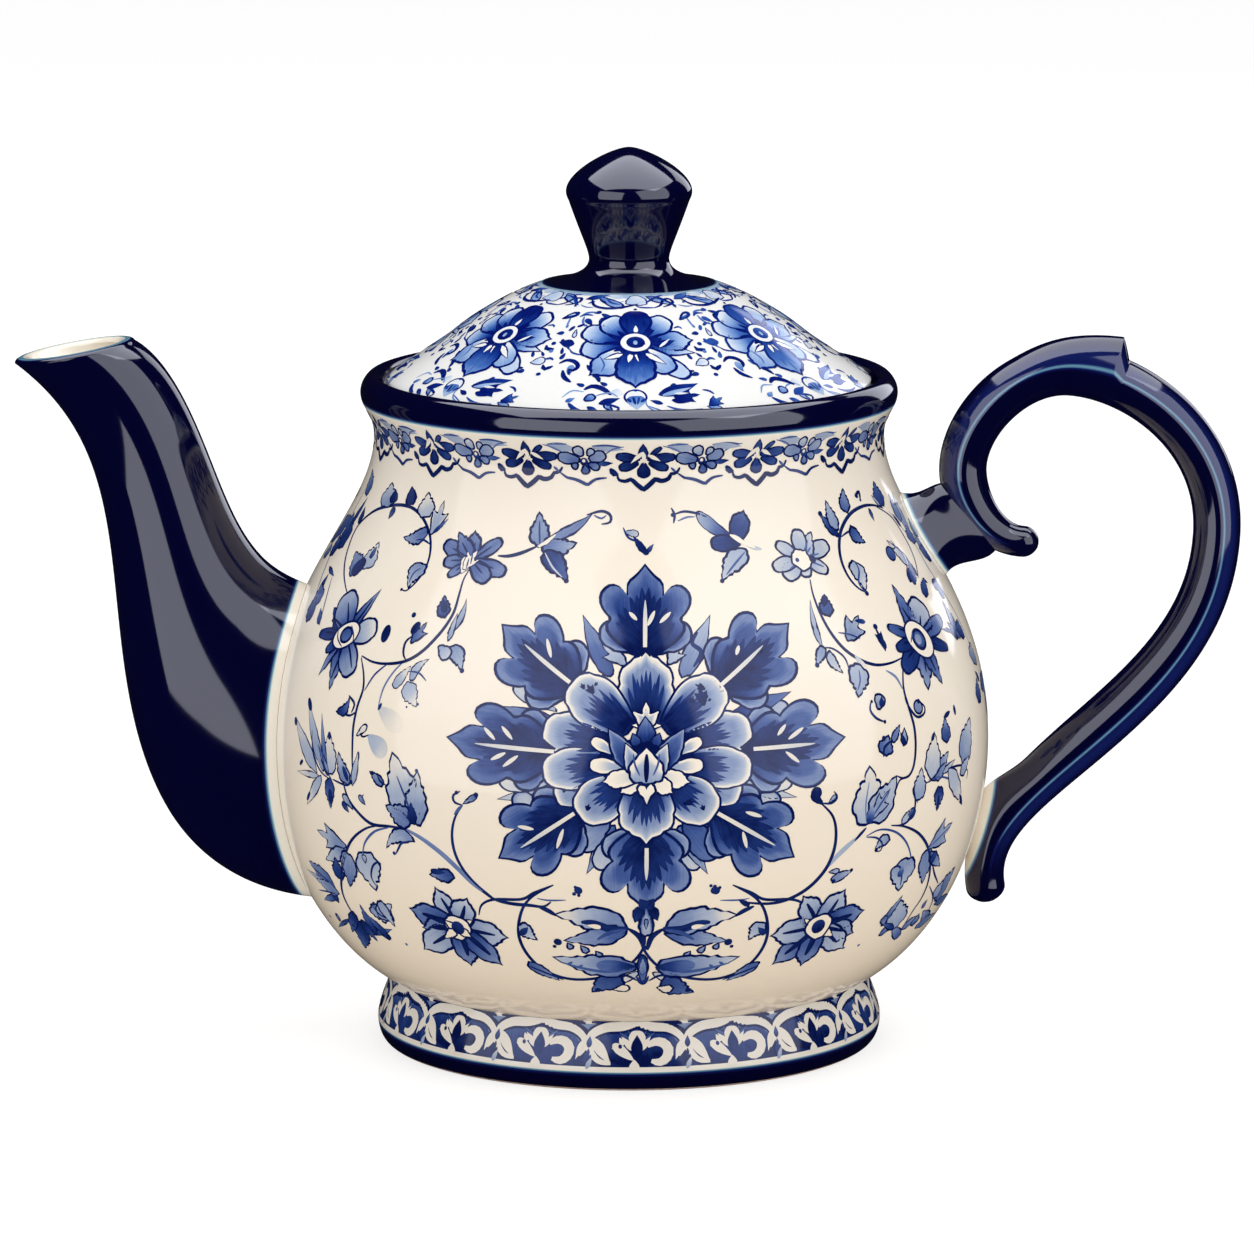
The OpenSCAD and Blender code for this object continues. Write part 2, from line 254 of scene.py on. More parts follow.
def glaze_shells():
    """The turned parts, each a closed shell with its real wall."""
    hollow = inset(belly_line, WALL)
    floor = FOOT_H + 0.4
    hollow = hollow[(hollow[:, 1] > floor + 3) & (hollow[:, 1] < JOINT_Z - 1)][::3]
    pot = line([[0, floor - 4.6], [BOSS_R, floor - 4.6], [BOSS_R, FOOT_H]], belly_line,
               [[JOINT_R - WALL, JOINT_Z]], hollow[::-1],
               [[WAIST_R - 5, floor + 0.4], [WAIST_R - 12, floor], [0, floor]])
    foot = line(foot_line, [[BOSS_R + SEAM, FOOT_H], [BOSS_R + SEAM, FOOT_H - 5],
                            [FOOT_R - FOOT_LAND - 1.8, 1.4], [FOOT_R - FOOT_LAND - 1, 0]])
    rim = line(rim_line, [[LEDGE_R - 0.1, LEDGE_Z + 0.4], [LEDGE_R - 0.5, LEDGE_Z],
                          [MOUTH_R + 0.6, LEDGE_Z], [MOUTH_R, LEDGE_Z - 0.6],
                          [MOUTH_R, LEDGE_Z - 1.8], [MOUTH_R + 0.8, LEDGE_Z - 2.6],
                          [JOINT_R - WALL, JOINT_Z]])
    under = CROWN_Z - WALL
    dome = line([[0, CROWN_Z]], dome_line,
                [[LID_R - 0.1, LID_Z + 1.2], [LID_R - 0.9, LID_Z],
                 [MOUTH_R - LID_GAP - 3, LID_Z]],
                curve([[MOUTH_R - LID_GAP - 3, LID_Z], [LID_R - 8.5, LID_Z + 3.4],
                       [LID_R - 20, under - 4.2], [SKIRT_R - 1, under]], 30),
                [[0, under]])
    knob = line([[0, CROWN_Z], [SKIRT_R - 0.2, CROWN_Z]], knob_line)
    shells = {}
    for key, rows, sides, body, nodes in (
            ("pot_body", pot, 420, "pot", ["pot_belly", "pot_shoulder"]),
            ("foot_ring", foot, 360, "pot", ["foot_ring"]),
            ("rim_collar", rim, 420, "pot", ["rim_collar"]),
            ("lid_dome", dome, 360, "lid", ["lid_dome"]),
            ("lid_knob", knob, 240, "lid", ["lid_knob"])):
        shells[key] = turned(key + "_glazed", rows, sides, body, nodes)
    return shells


def bore(shell, centre, radius, low, high, sides=40):
    """Round hole cut down through a shell."""
    a = np.linspace(0, TAU, sides, endpoint=False)
    ring = np.stack([centre[0] + radius * np.cos(a), centre[1] + radius * np.sin(a)], 1)
    pts = np.concatenate([np.c_[ring, 0 * a + low], np.c_[ring, 0 * a + high]])
    j = np.arange(sides)
    k = (j + 1) % sides
    me = bpy.data.meshes.new("bit")
    me.from_pydata((pts * MM).tolist(), [], [j[::-1].tolist(), (j + sides).tolist()]
                   + np.stack([j, k, k + sides, j + sides], 1).tolist())
    bit = bpy.data.objects.new("bit", me)
    bpy.context.scene.collection.objects.link(bit)
    cut = shell.modifiers.new("bore", "BOOLEAN")
    cut.operation, cut.solver, cut.object = "DIFFERENCE", "EXACT", bit
    bpy.context.view_layer.update()
    done = bpy.data.meshes.new_from_object(
        shell.evaluated_get(bpy.context.evaluated_depsgraph_get()))
    shell.modifiers.clear()
    old, shell.data = shell.data, done
    bpy.data.meshes.remove(old)
    bpy.data.objects.remove(bit)
    bpy.data.meshes.remove(me)


SPOUT_UP = [[-6, 30], [9, 37.5], [8.7, 50.6], [15.6, 72.6], [25.6, 78]]
SPOUT_LOW = [[-6.5, -32.3], [30.6, -28.4], [36.4, 19], [18.7, 50.6], [49, 73.8]]
SPOUT_SIDE = [17, 16.5, 5.5, 10.6, 11]
SPOUT_WALL = 3.2
SPOUT_SEAT = 0.16  # share of the spout's length that leans over to sit on the belly


def spout_points(t, a, trim):
    """Loft between the spout's upper and lower line, both in the plane y = 0.

    Each ring is an ellipse from one line to the other; near the root it leans over to
    end on the belly's own face.
    """
    def at(t):
        up, low = bez(SPOUT_UP, t), bez(SPOUT_LOW, 1 - (1 - t) ** 1.7)
        mid, half = (up + low) / 2, (up - low) / 2
        half = half * (1 - trim / np.linalg.norm(half, axis=-1, keepdims=True))
        q = mid[:, None] + half[:, None] * np.cos(a)[None, :, None]
        side = bez([[w] for w in SPOUT_SIDE], t) - trim
        return np.stack([-BELLY_R - q[..., 0], side * np.sin(a), BELLY_Z + q[..., 1]], -1)
    p, p0 = at(t), at(np.zeros(1))
    r0 = pot_r(p0[..., 2]) + SEAM
    seat = np.stack([-np.sqrt(r0 ** 2 - p0[..., 1] ** 2), p0[..., 1], p0[..., 2]], -1)
    lean = np.where(t < SPOUT_SEAT, (1 - t / SPOUT_SEAT) ** 2, 0)[:, None, None]
    return outside(p + (seat - p0) * lean)


def spout_piece():
    """Outer loft, rounded lip and inner loft, shut on itself at the root."""
    a = -np.linspace(0, TAU, 128, endpoint=False)
    t = np.linspace(0, 1, 130) ** 1.4
    one = np.ones(1)
    # rings round the lip: how far in from the outer face, and how far up
    lip = [spout_points(one, a, trim) + np.array([-0.2 * lift, 0, lift])
           for trim, lift in ((0.12, 0.28), (0.4, 0.53), (0.9, 0.72), (SPOUT_WALL / 2, 0.8),
                              (SPOUT_WALL - 0.9, 0.72), (SPOUT_WALL - 0.4, 0.53),
                              (SPOUT_WALL - 0.12, 0.28))]
    rings = np.concatenate([spout_points(t, a, 0), *lip,
                            spout_points(t[::-1], a, SPOUT_WALL)])
    return skinned("spout_glazed", rings, "pot", ["spout"]), len(t), len(a)


BOW_HALF, BOW_COLS = 4.64, 136  # half thickness in the hand, points round a ring
SQUARE, BROAD = 1.85, 1.06  # power of the rounded square, and its width over its depth
# Thumb spur and heel: height in mm, and where they start and end, in knots of BOW
SPUR_H, SPUR_FROM, SPUR_TOP, SPUR_TO = 3.8, 1.7, 2.19, 2.24
HEEL_H, HEEL_FROM, HEEL_TO = 2.4, 4.3, 4.85
# Knots of the bow: x and z, thickness over BOW_HALF's, heading, arm before and after
BOW = np.array([[6.6, 38.5, 0.66, 178, 0, 6.2], [-5.3, 52, 1, 94, 6, 9.3],
                [15.4, 72.2, 1.065, -4, 11.1, 12.5], [44.3, 39.8, 1, -93, 19.9, 16.4],
                [22, 2, 1.105, -138, 15.9, 17.5], [-0.2, -30.4, 0.83, -80, 12.4, 0]])
LEGS = len(BOW) - 1


def bow_at(s):
    """Middle line of the handle: cubic legs between knots, each with a heading and arms."""
    i = np.clip(np.floor(s).astype(int), 0, LEGS - 1)
    t = (s - i)[:, None]
    way = np.stack([np.cos(np.radians(BOW[:, 3])), np.sin(np.radians(BOW[:, 3]))], 1)
    p, q = BOW[i, :2], BOW[i + 1, :2]
    b, c = p + way[i] * BOW[i, 5:], q - way[i + 1] * BOW[i + 1, 4:5]
    return p * (1 - t) ** 3 + 3 * b * t * (1 - t) ** 2 + 3 * c * t * t * (1 - t) + q * t ** 3


def bow_rings(s, past, draw):
    """Rings along the bow at s: |x| ** SQUARE + |y| ** SQUARE = 1, with spur and heel.

    past moves a ring on along the bow and draw shrinks it, for the rounded ends.
    """
    way = bow_at(np.minimum(s + 0.01, LEGS)) - bow_at(np.maximum(s - 0.01, 0))
    way /= np.linalg.norm(way, axis=1, keepdims=True)
    mid = bow_at(s) + way * past[:, None]
    out = np.stack([-way[:, 1], way[:, 0]], 1)
    i = np.clip(np.floor(s).astype(int), 0, LEGS - 1)
    t = s - i
    half = BOW_HALF * (BOW[i, 2] + (BOW[i + 1, 2] - BOW[i, 2]) * t * t * (3 - 2 * t)) * draw
    rise = np.clip((s - SPUR_FROM) / (SPUR_TOP - SPUR_FROM), 0, 1) ** 1.6
    fall = np.clip((SPUR_TO - s) / (SPUR_TO - SPUR_TOP), 0, 1)
    spur = SPUR_H * np.where(s < SPUR_TOP, rise, fall)
    swell = HEEL_H * np.sin(np.pi * (s - HEEL_FROM) / (HEEL_TO - HEEL_FROM)) ** 2
    heel = np.where((s > HEEL_FROM) & (s < HEEL_TO), swell, 0)
    a = np.linspace(0, TAU, BOW_COLS, endpoint=False)
    e, f = (np.sign(v) * np.abs(v) ** (2 / SQUARE) for v in (np.cos(a), np.sin(a)))
    bulge = e * (half[:, None] + np.where(e > 0, spur[:, None], heel[:, None]))
    q = mid[:, None] + out[:, None] * bulge[..., None]
    side = BROAD * half[:, None] * f
    return outside(np.stack([BELLY_R + q[..., 0], side, BELLY_Z + q[..., 1]], -1))


def handle_pieces():
    """The bow with rounded ends, and the oval lug that carries its scroll."""
    # finer steps where the spur breaks off
    s = np.unique(np.r_[np.linspace(0, LEGS, 420), np.linspace(2.1, 2.3, 60)])
    # rounded ends: how far past, and how much of the section is left
    cap = np.array([[0.6, 0.978], [1.2, 0.91], [1.7, 0.81], [2.1, 0.7], [2.5, 0.54],
                    [2.8, 0.38], [2.95, 0.2]])
    past = np.r_[-cap[::-1, 0], 0 * s, cap[:, 0]]
    draw = np.r_[cap[::-1, 1], 0 * s + 1, cap[:, 1]]
    s = np.r_[0 * cap[:, 0], s, 0 * cap[:, 0] + LEGS]
    tips = np.array([[-3.0, 0], [3.0, LEGS]])
    mid = bow_at(tips[:, 1])
    way = bow_at(np.array([0.01, LEGS])) - bow_at(np.array([0, LEGS - 0.01]))
    way /= np.linalg.norm(way, axis=1, keepdims=True)
    mid = mid + way * tips[:, :1]
    ends = np.stack([BELLY_R + mid[:, 0], 0 * mid[:, 0], BELLY_Z + mid[:, 1]], 1)
    bow = skinned("handle_bow_glazed", bow_rings(s, past, draw), "pot", ["handle"], ends)

    z0 = BELLY_Z + 40.1
    low, top = np.array([pot_r(z0), z0]), np.array([BELLY_R - 2.4, BELLY_Z + 43.6])
    t = np.linspace(0, 1, 40)
    a = np.linspace(0, TAU, 64, endpoint=False)
    # the lug's middle line, its half height and its half width
    c = bez([low, (low + top) / 2, top], t)
    h = bez([[-4.6, 8.1], [-3.2, 5.6], [-5.4, 9], [-4, 6.2]], t)
    w = bez([[7], [4.4], [4.8], [3.2]], t)
    q = c[:, None] + h[:, None] * np.cos(a)[None, :, None]
    rings = outside(np.stack([q[..., 0], w * np.sin(a), q[..., 1]], -1))
    r0 = pot_r(rings[0, :, 2]) + SEAM
    rings[0, :, 0] = np.sqrt(r0 ** 2 - rings[0, :, 1] ** 2)
    ends = np.array([[pot_r(z0) + SEAM, 0, z0], [top[0], 0, top[1]]])
    lug = skinned("handle_lug_glazed", rings, "pot", [], ends)
    return bow, lug


# ---- materials ------------------------------------------------------------------------

def linear(code):
    """sRGB hex to the linear RGBA that shaders use."""
    c = np.array([int(code[i:i + 2], 16) for i in (1, 3, 5)]) / 255
    c = np.where(c <= 0.04045, c / 12.92, ((c + 0.055) / 1.055) ** 2.4)
    return (*c.tolist(), 1)


def add(tree, kind, links=None, **settings):
    """A shader node with its settings; links maps an input to a node, a socket or a value.

    A node stands for its first output.
    """
    n = tree.nodes.new("ShaderNode" + kind)
    for k, v in settings.items():
        setattr(n, k, v)
    for k, v in (links or {}).items():
        v = v.outputs[0] if isinstance(v, bpy.types.Node) else v
        if isinstance(v, bpy.types.NodeSocket):
            tree.links.new(v, n.inputs[k])
        else:
            n.inputs[k].default_value = v
    return n


def stops(ramp, rows):
    """Sets a colour ramp's stops from (place, hex) rows."""
    while len(ramp.elements) < len(rows):
        ramp.elements.new(1)
    for e, (place, code) in zip(ramp.elements, rows):
        e.position, e.color = place, linear(code)


def fresh(name):
    """An empty material, its nodes and the coordinates its patterns lie in."""
    mat = bpy.data.materials.new(name)
    mat.use_nodes = True
    return mat, mat.node_tree, add(mat.node_tree, "TexCoord").outputs["Object"]


def surface(tree, colour, grain, strength, depth, roughness, ior=1.5):
    """Gives the shader its colour, its gloss and the bumps of a grain, depth in metres."""
    skin = tree.nodes["Principled BSDF"]
    bump = add(tree, "Bump", {"Height": grain, "Strength": strength, "Distance": depth})
    tree.links.new(colour, skin.inputs["Base Color"])
    tree.links.new(bump.outputs[0], skin.inputs["Normal"])
    skin.inputs["Roughness"].default_value = roughness
    skin.inputs["IOR"].default_value = ior


# Cobalt under the glaze, from a bare wash to a full brush: slate on the pot, bright on the lid
SLATE = [(0.0, "#D9D5CD"), (0.08, "#C2C5CB"), (0.16, "#A9B3C7"), (0.32, "#8292B5"),
         (0.55, "#4B629B"), (0.8, "#1F3879"), (1.0, "#05134A")]
BRIGHT = [(0.0, "#E4E8EE"), (0.08, "#CFDAEC"), (0.16, "#B0C6E6"), (0.32, "#82A2D6"),
          (0.55, "#446EBA"), (0.8, "#143C96"), (1.0, "#03136A")]


def painted_porcelain(name, ground, low, tint):
    """Cast porcelain, cobalt painted on the biscuit, clear feldspar glaze fired over it.

    The glaze gives a wet, even gloss and a slow waviness; the biscuit shows through as a
    warm ground with faint clouding, and the cobalt as a wash whose strength is `ink`.
    """
    mat, tree, at = fresh(name)
    ink = add(tree, "Attribute", attribute_name="ink").outputs["Fac"]
    brush = add(tree, "UVMap", uv_map="brush").outputs["UV"]
    # streaks of the brush: 0.35 mm apart across a stroke, 6 mm long
    drawn = add(tree, "Mapping", {"Vector": brush, "Scale": (2900, 170, 1)})
    streak = add(tree, "TexNoise", {"Vector": drawn, "Scale": 1.0, "Detail": 2.0,
                                    "Roughness": 0.6})
    # pools of colour about 3 mm across where the wash dried unevenly
    pool = add(tree, "TexNoise", {"Vector": at, "Scale": 330.0, "Detail": 2.0})
    both = add(tree, "Math", {0: streak, 1: pool}, operation="ADD")
    swing = add(tree, "Math", {0: both, 1: -1.0}, operation="ADD")
    # the wash varies most at middle strength and not at all on bare ground
    room = add(tree, "MapRange", {"Value": ink, "From Min": 0.02, "From Max": 0.3, "To Min": 0.0,
                                  "To Max": 0.2})
    worked = add(tree, "Math", {0: swing, 1: room, 2: ink}, operation="MULTIPLY_ADD")
    wash = add(tree, "ValToRGB", {"Fac": worked})
    stops(wash.color_ramp, tint)
    cloud = add(tree, "TexNoise", {"Vector": at, "Scale": 26.0, "Detail": 3.0})
    base = add(tree, "ValToRGB", {"Fac": cloud})
    stops(base.color_ramp, [(0.3, ground[0]), (0.7, ground[1])])
    # painted shade: towards the foot the ground turns to the darker, warmer `low` colour
    height = add(tree, "SeparateXYZ", {"Vector": at})
    painted_shade_low = add(tree, "MapRange", {"Value": height.outputs["Z"], "From Min": 0.014,
                                    "From Max": 0.085, "To Min": 1.0, "To Max": 0.0})
    body = add(tree, "Mix", {0: painted_shade_low, 6: base, 7: linear(low)}, data_type="RGBA")
    cover = add(tree, "MapRange", {"Value": worked, "From Min": 0.0, "From Max": 0.12})
    mix = add(tree, "Mix", {0: cover, 6: body.outputs[2], 7: wash}, data_type="RGBA")
    wave = add(tree, "TexNoise", {"Vector": at, "Scale": 60.0, "Detail": 2.0})
    surface(tree, mix.outputs[2], wave, strength=0.12, depth=0.0004, roughness=0.1)
    return mat


def cobalt_glaze():
    """Thick cobalt-black glaze: deep and wet, breaking to a pale line where it runs thin.

    `thin` on the mesh is 0 where the glaze is full, 1 on bare porcelain; on the bow it adds
    painted highlight.
    """
    mat, tree, at = fresh("cobalt_glaze_thick")
    thin = add(tree, "Attribute", attribute_name="thin").outputs["Fac"]
    cloud = add(tree, "TexNoise", {"Vector": at, "Scale": 90.0, "Detail": 4.0})
    run = add(tree, "Math", {0: cloud, 1: 0.04, 2: thin}, operation="MULTIPLY_ADD")
    tone = add(tree, "ValToRGB", {"Fac": run})
    stops(tone.color_ramp, [(0.0, "#020226"), (0.06, "#04042C"), (0.35, "#131F5E"),
                            (0.62, "#6FA0B4"), (0.8, "#E3EBE4"), (1.0, "#F6EEDF")])
    wave = add(tree, "TexNoise", {"Vector": at, "Scale": 45.0, "Detail": 1.0})
    surface(tree, tone.outputs[0], wave, strength=0.1, depth=0.0004, roughness=0.07,
            ior=1.52)
    return mat


def bare_biscuit():
    """Wiped, unglazed porcelain under the foot: chalky, buff, slightly pink and gritty."""
    mat, tree, at = fresh("bare_biscuit_foot")
    grit = add(tree, "TexNoise", {"Vector": at, "Scale": 1600.0, "Detail": 3.0})
    tone = add(tree, "ValToRGB", {"Fac": grit})
    stops(tone.color_ramp, [(0.3, "#C9A58F"), (0.7, "#E6CFC0")])
    surface(tree, tone.outputs[0], grit, strength=0.4, depth=0.0001, roughness=0.75)
    return mat


# ---- studio ---------------------------------------------------------------------------

def studio(dark, pale):
    """Camera a little above the table, white ground, soft boxes overhead and at each side.

    Small flags give the dark cobalt pieces strong boxes and the pale ones gentle windows.
    """
    scene = bpy.context.scene
    scene.view_settings.view_transform = "Standard"
    cam = bpy.data.objects.new("camera", bpy.data.cameras.new("camera"))
    scene.collection.objects.link(cam)
    pitch, far, look_x, look_z = np.radians(10.25), 1.45, -0.0004, 0.0815
    cam.location = (look_x, -far * np.cos(pitch), look_z + far * np.sin(pitch))
    cam.rotation_euler = (np.pi / 2 - pitch, 0, 0)
    cam.data.sensor_width, cam.data.lens = 36, 212.8
    cam.data.clip_start, cam.data.clip_end = 0.1, 20
    scene.camera = cam

    world = bpy.data.worlds.new("studio")
    scene.world = world
    world.use_nodes = True
    tree = world.node_tree
    ray = add(tree, "LightPath")
    # white to the eye, even fill to matt surfaces, a dim room to the gloss
    fill = add(tree, "Math", {0: ray.outputs["Is Diffuse Ray"], 1: 0.6}, operation="MULTIPLY")
    room = add(tree, "Math", {0: ray.outputs["Is Glossy Ray"], 1: 0.006, 2: fill},
               operation="MULTIPLY_ADD")
    level = add(tree, "Math", {0: ray.outputs["Is Camera Ray"], 1: room}, operation="MAXIMUM")
    sky = tree.nodes["Background"]
    sky.inputs["Color"].default_value = (1, 1, 1, 1)
    tree.links.new(level.outputs[0], sky.inputs["Strength"])

    def soft_box(name, place, size, matt=0, gloss=0, onto=()):
        """Soft box of given radiance, watts = radiance x pi x area, for matt and for gloss.

        The face that the gloss sees hangs a little in front of the other, so that neither
        hides the other from a ray; it is flagged off all but the pieces in onto.
        """
        aim = Vector((0, 0, 0.09))
        for part, radiance, near in (("matt", matt, 0), ("gloss", gloss, 0.03)):
            if not radiance:
                continue
            lamp = bpy.data.lights.new(f"{name}_{part}", "AREA")
            lamp.shape, lamp.size, lamp.size_y = "RECTANGLE", *size
            lamp.energy = radiance * np.pi * size[0] * size[1]
            lamp.color = linear("#FFFFFF" if part == "matt" else "#EEF1FF")[:3]
            ob = bpy.data.objects.new(f"{name}_{part}", lamp)
            ob.location = Vector(place).lerp(aim, near)
            ob.rotation_euler = (aim - Vector(place)).to_track_quat("-Z", "Y").to_euler()
            ob.visible_camera = False
            ob.visible_diffuse, ob.visible_glossy = part == "matt", part == "gloss"
            scene.collection.objects.link(ob)
            if part == "gloss" and onto:
                group = bpy.data.collections.new(f"{name}_lit")
                for piece in onto:
                    group.objects.link(piece)
                ob.light_linking.receiver_collection = group

    soft_box("top_box", (0.0, -0.15, 1.25), (1.1, 0.9), matt=2.0)
    soft_box("top_sheet", (0.05, 0.0, 1.25), (1.5, 2.1), gloss=4.9, onto=dark)
    soft_box("left_box", (-0.86, -1.23, 0.4), (1.25, 1.5), 0.95, 3.3, dark)
    soft_box("right_box", (1.13, -0.98, 0.56), (1.7, 1.75), 0.8, 3.1, dark)
    soft_box("left_window", (-1.0, -0.97, 0.65), (1.95, 1.75), gloss=1.6, onto=pale)
    soft_box("right_window", (1.12, -0.83, 0.65), (1.75, 1.75), gloss=1.6, onto=pale)
    soft_box("back_box", (0.86, 1.23, 0.6), (0.6, 0.9), 2.0, 2.4)
    soft_box("far_box", (-0.4, 1.3, 0.7), (1.2, 0.8), matt=1.5)

    me = bpy.data.meshes.new("table")
    me.from_pydata([(-4, -4, 0), (4, -4, 0), (4, 4, 0), (-4, 4, 0)], [], [(0, 1, 2, 3)])
    floor = bpy.data.objects.new("table", me)
    scene.collection.objects.link(floor)
    mat = bpy.data.materials.new("table_paper")
    mat.use_nodes = True
    tree = mat.node_tree
    tree.nodes.remove(tree.nodes["Principled BSDF"])
    ray = add(tree, "LightPath")
    # the camera sees the paper glow by itself, so that only the shadow darkens it
    glow = add(tree, "Emission", {"Color": (1, 1, 1, 1), "Strength": 0.74})
    lit = add(tree, "BsdfDiffuse", {"Color": (0.38, 0.38, 0.38, 1)})
    eye = add(tree, "AddShader", {0: glow, 1: lit})
    paper = add(tree, "BsdfDiffuse", {"Color": (0.8, 0.8, 0.8, 1)})
    both = add(tree, "MixShader", {0: ray.outputs["Is Camera Ray"], 1: paper, 2: eye})
    tree.links.new(both.outputs[0], tree.nodes["Material Output"].inputs["Surface"])
    me.materials.append(mat)
    floor.visible_glossy = False


# ---- brushwork ------------------------------------------------------------------------

class Ground:
    """A turned face to paint on, unrolled: p runs round it at radius `r0`, s up it.

    s is 0 at height z0; rows is the face's profile of radius and height.
    """

    def __init__(self, rows, z0, r0, body):
        step = np.linalg.norm(np.diff(rows, axis=0), axis=1)
        s = np.r_[0, np.cumsum(step)]
        order = np.argsort(rows[:, 1])
        self.s = s - np.interp(z0, rows[order, 1], s[order])
        self.rows, self.r0, self.body = rows, r0, body
        way = np.gradient(rows, self.s, axis=0)
        way /= np.linalg.norm(way, axis=1, keepdims=True)
        self.out = np.stack([way[:, 1], -way[:, 0]], 1)
        if self.out[:, 0].mean() < 0:
            self.out *= -1

    def radius(self, s):
        return np.interp(s, self.s, self.rows[:, 0])

    def at(self, p, s, lift):
        """Points and normals: the profile at s, turned by p / r0 and raised by lift."""
        a = p / self.r0
        r, z, nr, nz = (np.interp(s, self.s, c) for c in (*self.rows.T, *self.out.T))
        r, z = r + lift * nr, z + lift * nz
        return (np.stack([r * np.sin(a), -r * np.cos(a), z], 1),
                np.stack([nr * np.sin(a), -nr * np.cos(a), nz], 1))


def spline(knots, gap, shut=False):
    """Catmull-Rom curve through knots, at even steps of about gap.

    A third column of 1 marks a corner, where the curve breaks its direction.
    """
    k = np.asarray(knots, float)
    sharp = k[:, 2] > 0 if k.shape[1] > 2 else np.zeros(len(k), bool)
    q = k[:, :2]
    n = len(q)
    last = n if shut else n - 1
    i = np.arange(last)
    a, b = q[i], q[(i + 1) % n]
    before = q[(i - 1) % n] if shut else q[np.maximum(i - 1, 0)]
    after = q[(i + 2) % n] if shut else q[np.minimum(i + 2, n - 1)]
    before = np.where(sharp[i, None], 2 * a - b, before)
    after = np.where(sharp[(i + 1) % n, None], 2 * b - a, after)
    t = np.linspace(0, 1, 12, endpoint=False)[None, :, None]
    a, b, before, after = (v[:, None] for v in (a, b, before, after))
    fine = 0.5 * (2 * a + (b - before) * t + (2 * before - 5 * a + 4 * b - after) * t ** 2
                  + (3 * a - before - 3 * b + after) * t ** 3)
    fine = fine.reshape(-1, 2)
    fine = np.concatenate([fine, q[:1] if shut else q[-1:]])
    run = np.r_[0, np.cumsum(np.linalg.norm(np.diff(fine, axis=0), axis=1))]
    steps = max(int(round(run[-1] / gap)), 3)
    at = np.linspace(0, run[-1], steps + 1)
    if shut:
        at = at[:-1]
    return np.stack([np.interp(at, run, fine[:, 0]), np.interp(at, run, fine[:, 1])], 1)


# Half outlines from tip to foot in a unit length: [across, along, corner]
LEAF = {
    "oak": [[0, 1, 1], [.1, .89, 0], [.2, .8, 0], [.205, .665, 1], [.3, .76, 0],
            [.41, .77, 0], [.5, .68, 0], [.5, .56, 0], [.43, .45, 0], [.37, .4, 1],
            [.42, .35, 0], [.41, .26, 0], [.31, .15, 0], [.18, .06, 0], [.1, 0, 0],
            [.05, 0, 1]],
    "heart": [[0, 1, 1], [.2, .7, 0], [.46, .42, 0], [.48, .16, 0], [.3, 0, 0],
              [.1, .06, 0], [0, .2, 1]],
    "petal": [[0, 1, 0], [.2, .99, 0], [.37, .9, 0], [.4, .83, 1], [.49, .7, 0],
              [.5, .52, 0], [.42, .33, 0], [.3, .15, 0], [.16, 0, 1]],
    "point": [[0, 1, 1], [.1, .9, 0], [.24, .86, 0], [.29, .8, 1], [.42, .74, 0],
              [.48, .62, 0], [.46, .54, 1], [.5, .42, 0], [.42, .2, 0], [.3, 0, 1]],
    "drop": [[0, 1, 0], [.3, .93, 0], [.48, .74, 0], [.46, .5, 0], [.28, .22, 0],
             [.05, 0, 1]],
    "lance": [[0, 1, 1], [.16, .84, 0], [.38, .62, 0], [.5, .4, 0], [.4, .2, 0],
              [.16, .04, 0], [.03, 0, 1]],
    "bud": [[0, 1, 1], [.22, .8, 0], [.44, .55, 0], [.5, .3, 0], [.38, .08, 0],
            [.2, 0, 1]],
    "maple": [[0, 1, 1], [.13, .8, 0], [.14, .66, 0], [.3, .66, 0], [.5, .72, 1],
              [.42, .5, 0], [.32, .3, 0], [.16, .1, 0], [.03, 0, 1]],
    "saw": [[0, 1, 1], [.17, .86, 0], [.15, .78, 1], [.32, .73, 0], [.3, .65, 1],
            [.46, .56, 0], [.44, .48, 1], [.5, .34, 0], [.42, .18, 0], [.2, .03, 0],
            [.03, 0, 1]],
    "dot": [[0, 1, 0], [.35, .86, 0], [.5, .5, 0], [.35, .14, 0], [0, 0, 0]],
}
# Those whose drawn edge wanders a little, as a brush held free does
WAVY = ("lance", "drop", "bud", "maple", "heart", "saw")


def soft(x, a, b):
    """Smooth step from 0 at a to 1 at b."""
    t = np.clip((x - a) / (b - a), 0, 1)
    return t * t * (3 - 2 * t)


OUTLINE, STEM = 1.4, 1.28  # how much fuller the brush lies than the tables say
LAYER, OVER = 0.0125, 0.0015  # mm from layer to layer, and from stroke to stroke in one
FRESH = 13.7  # mm along the brush's streaks from one stroke to the next


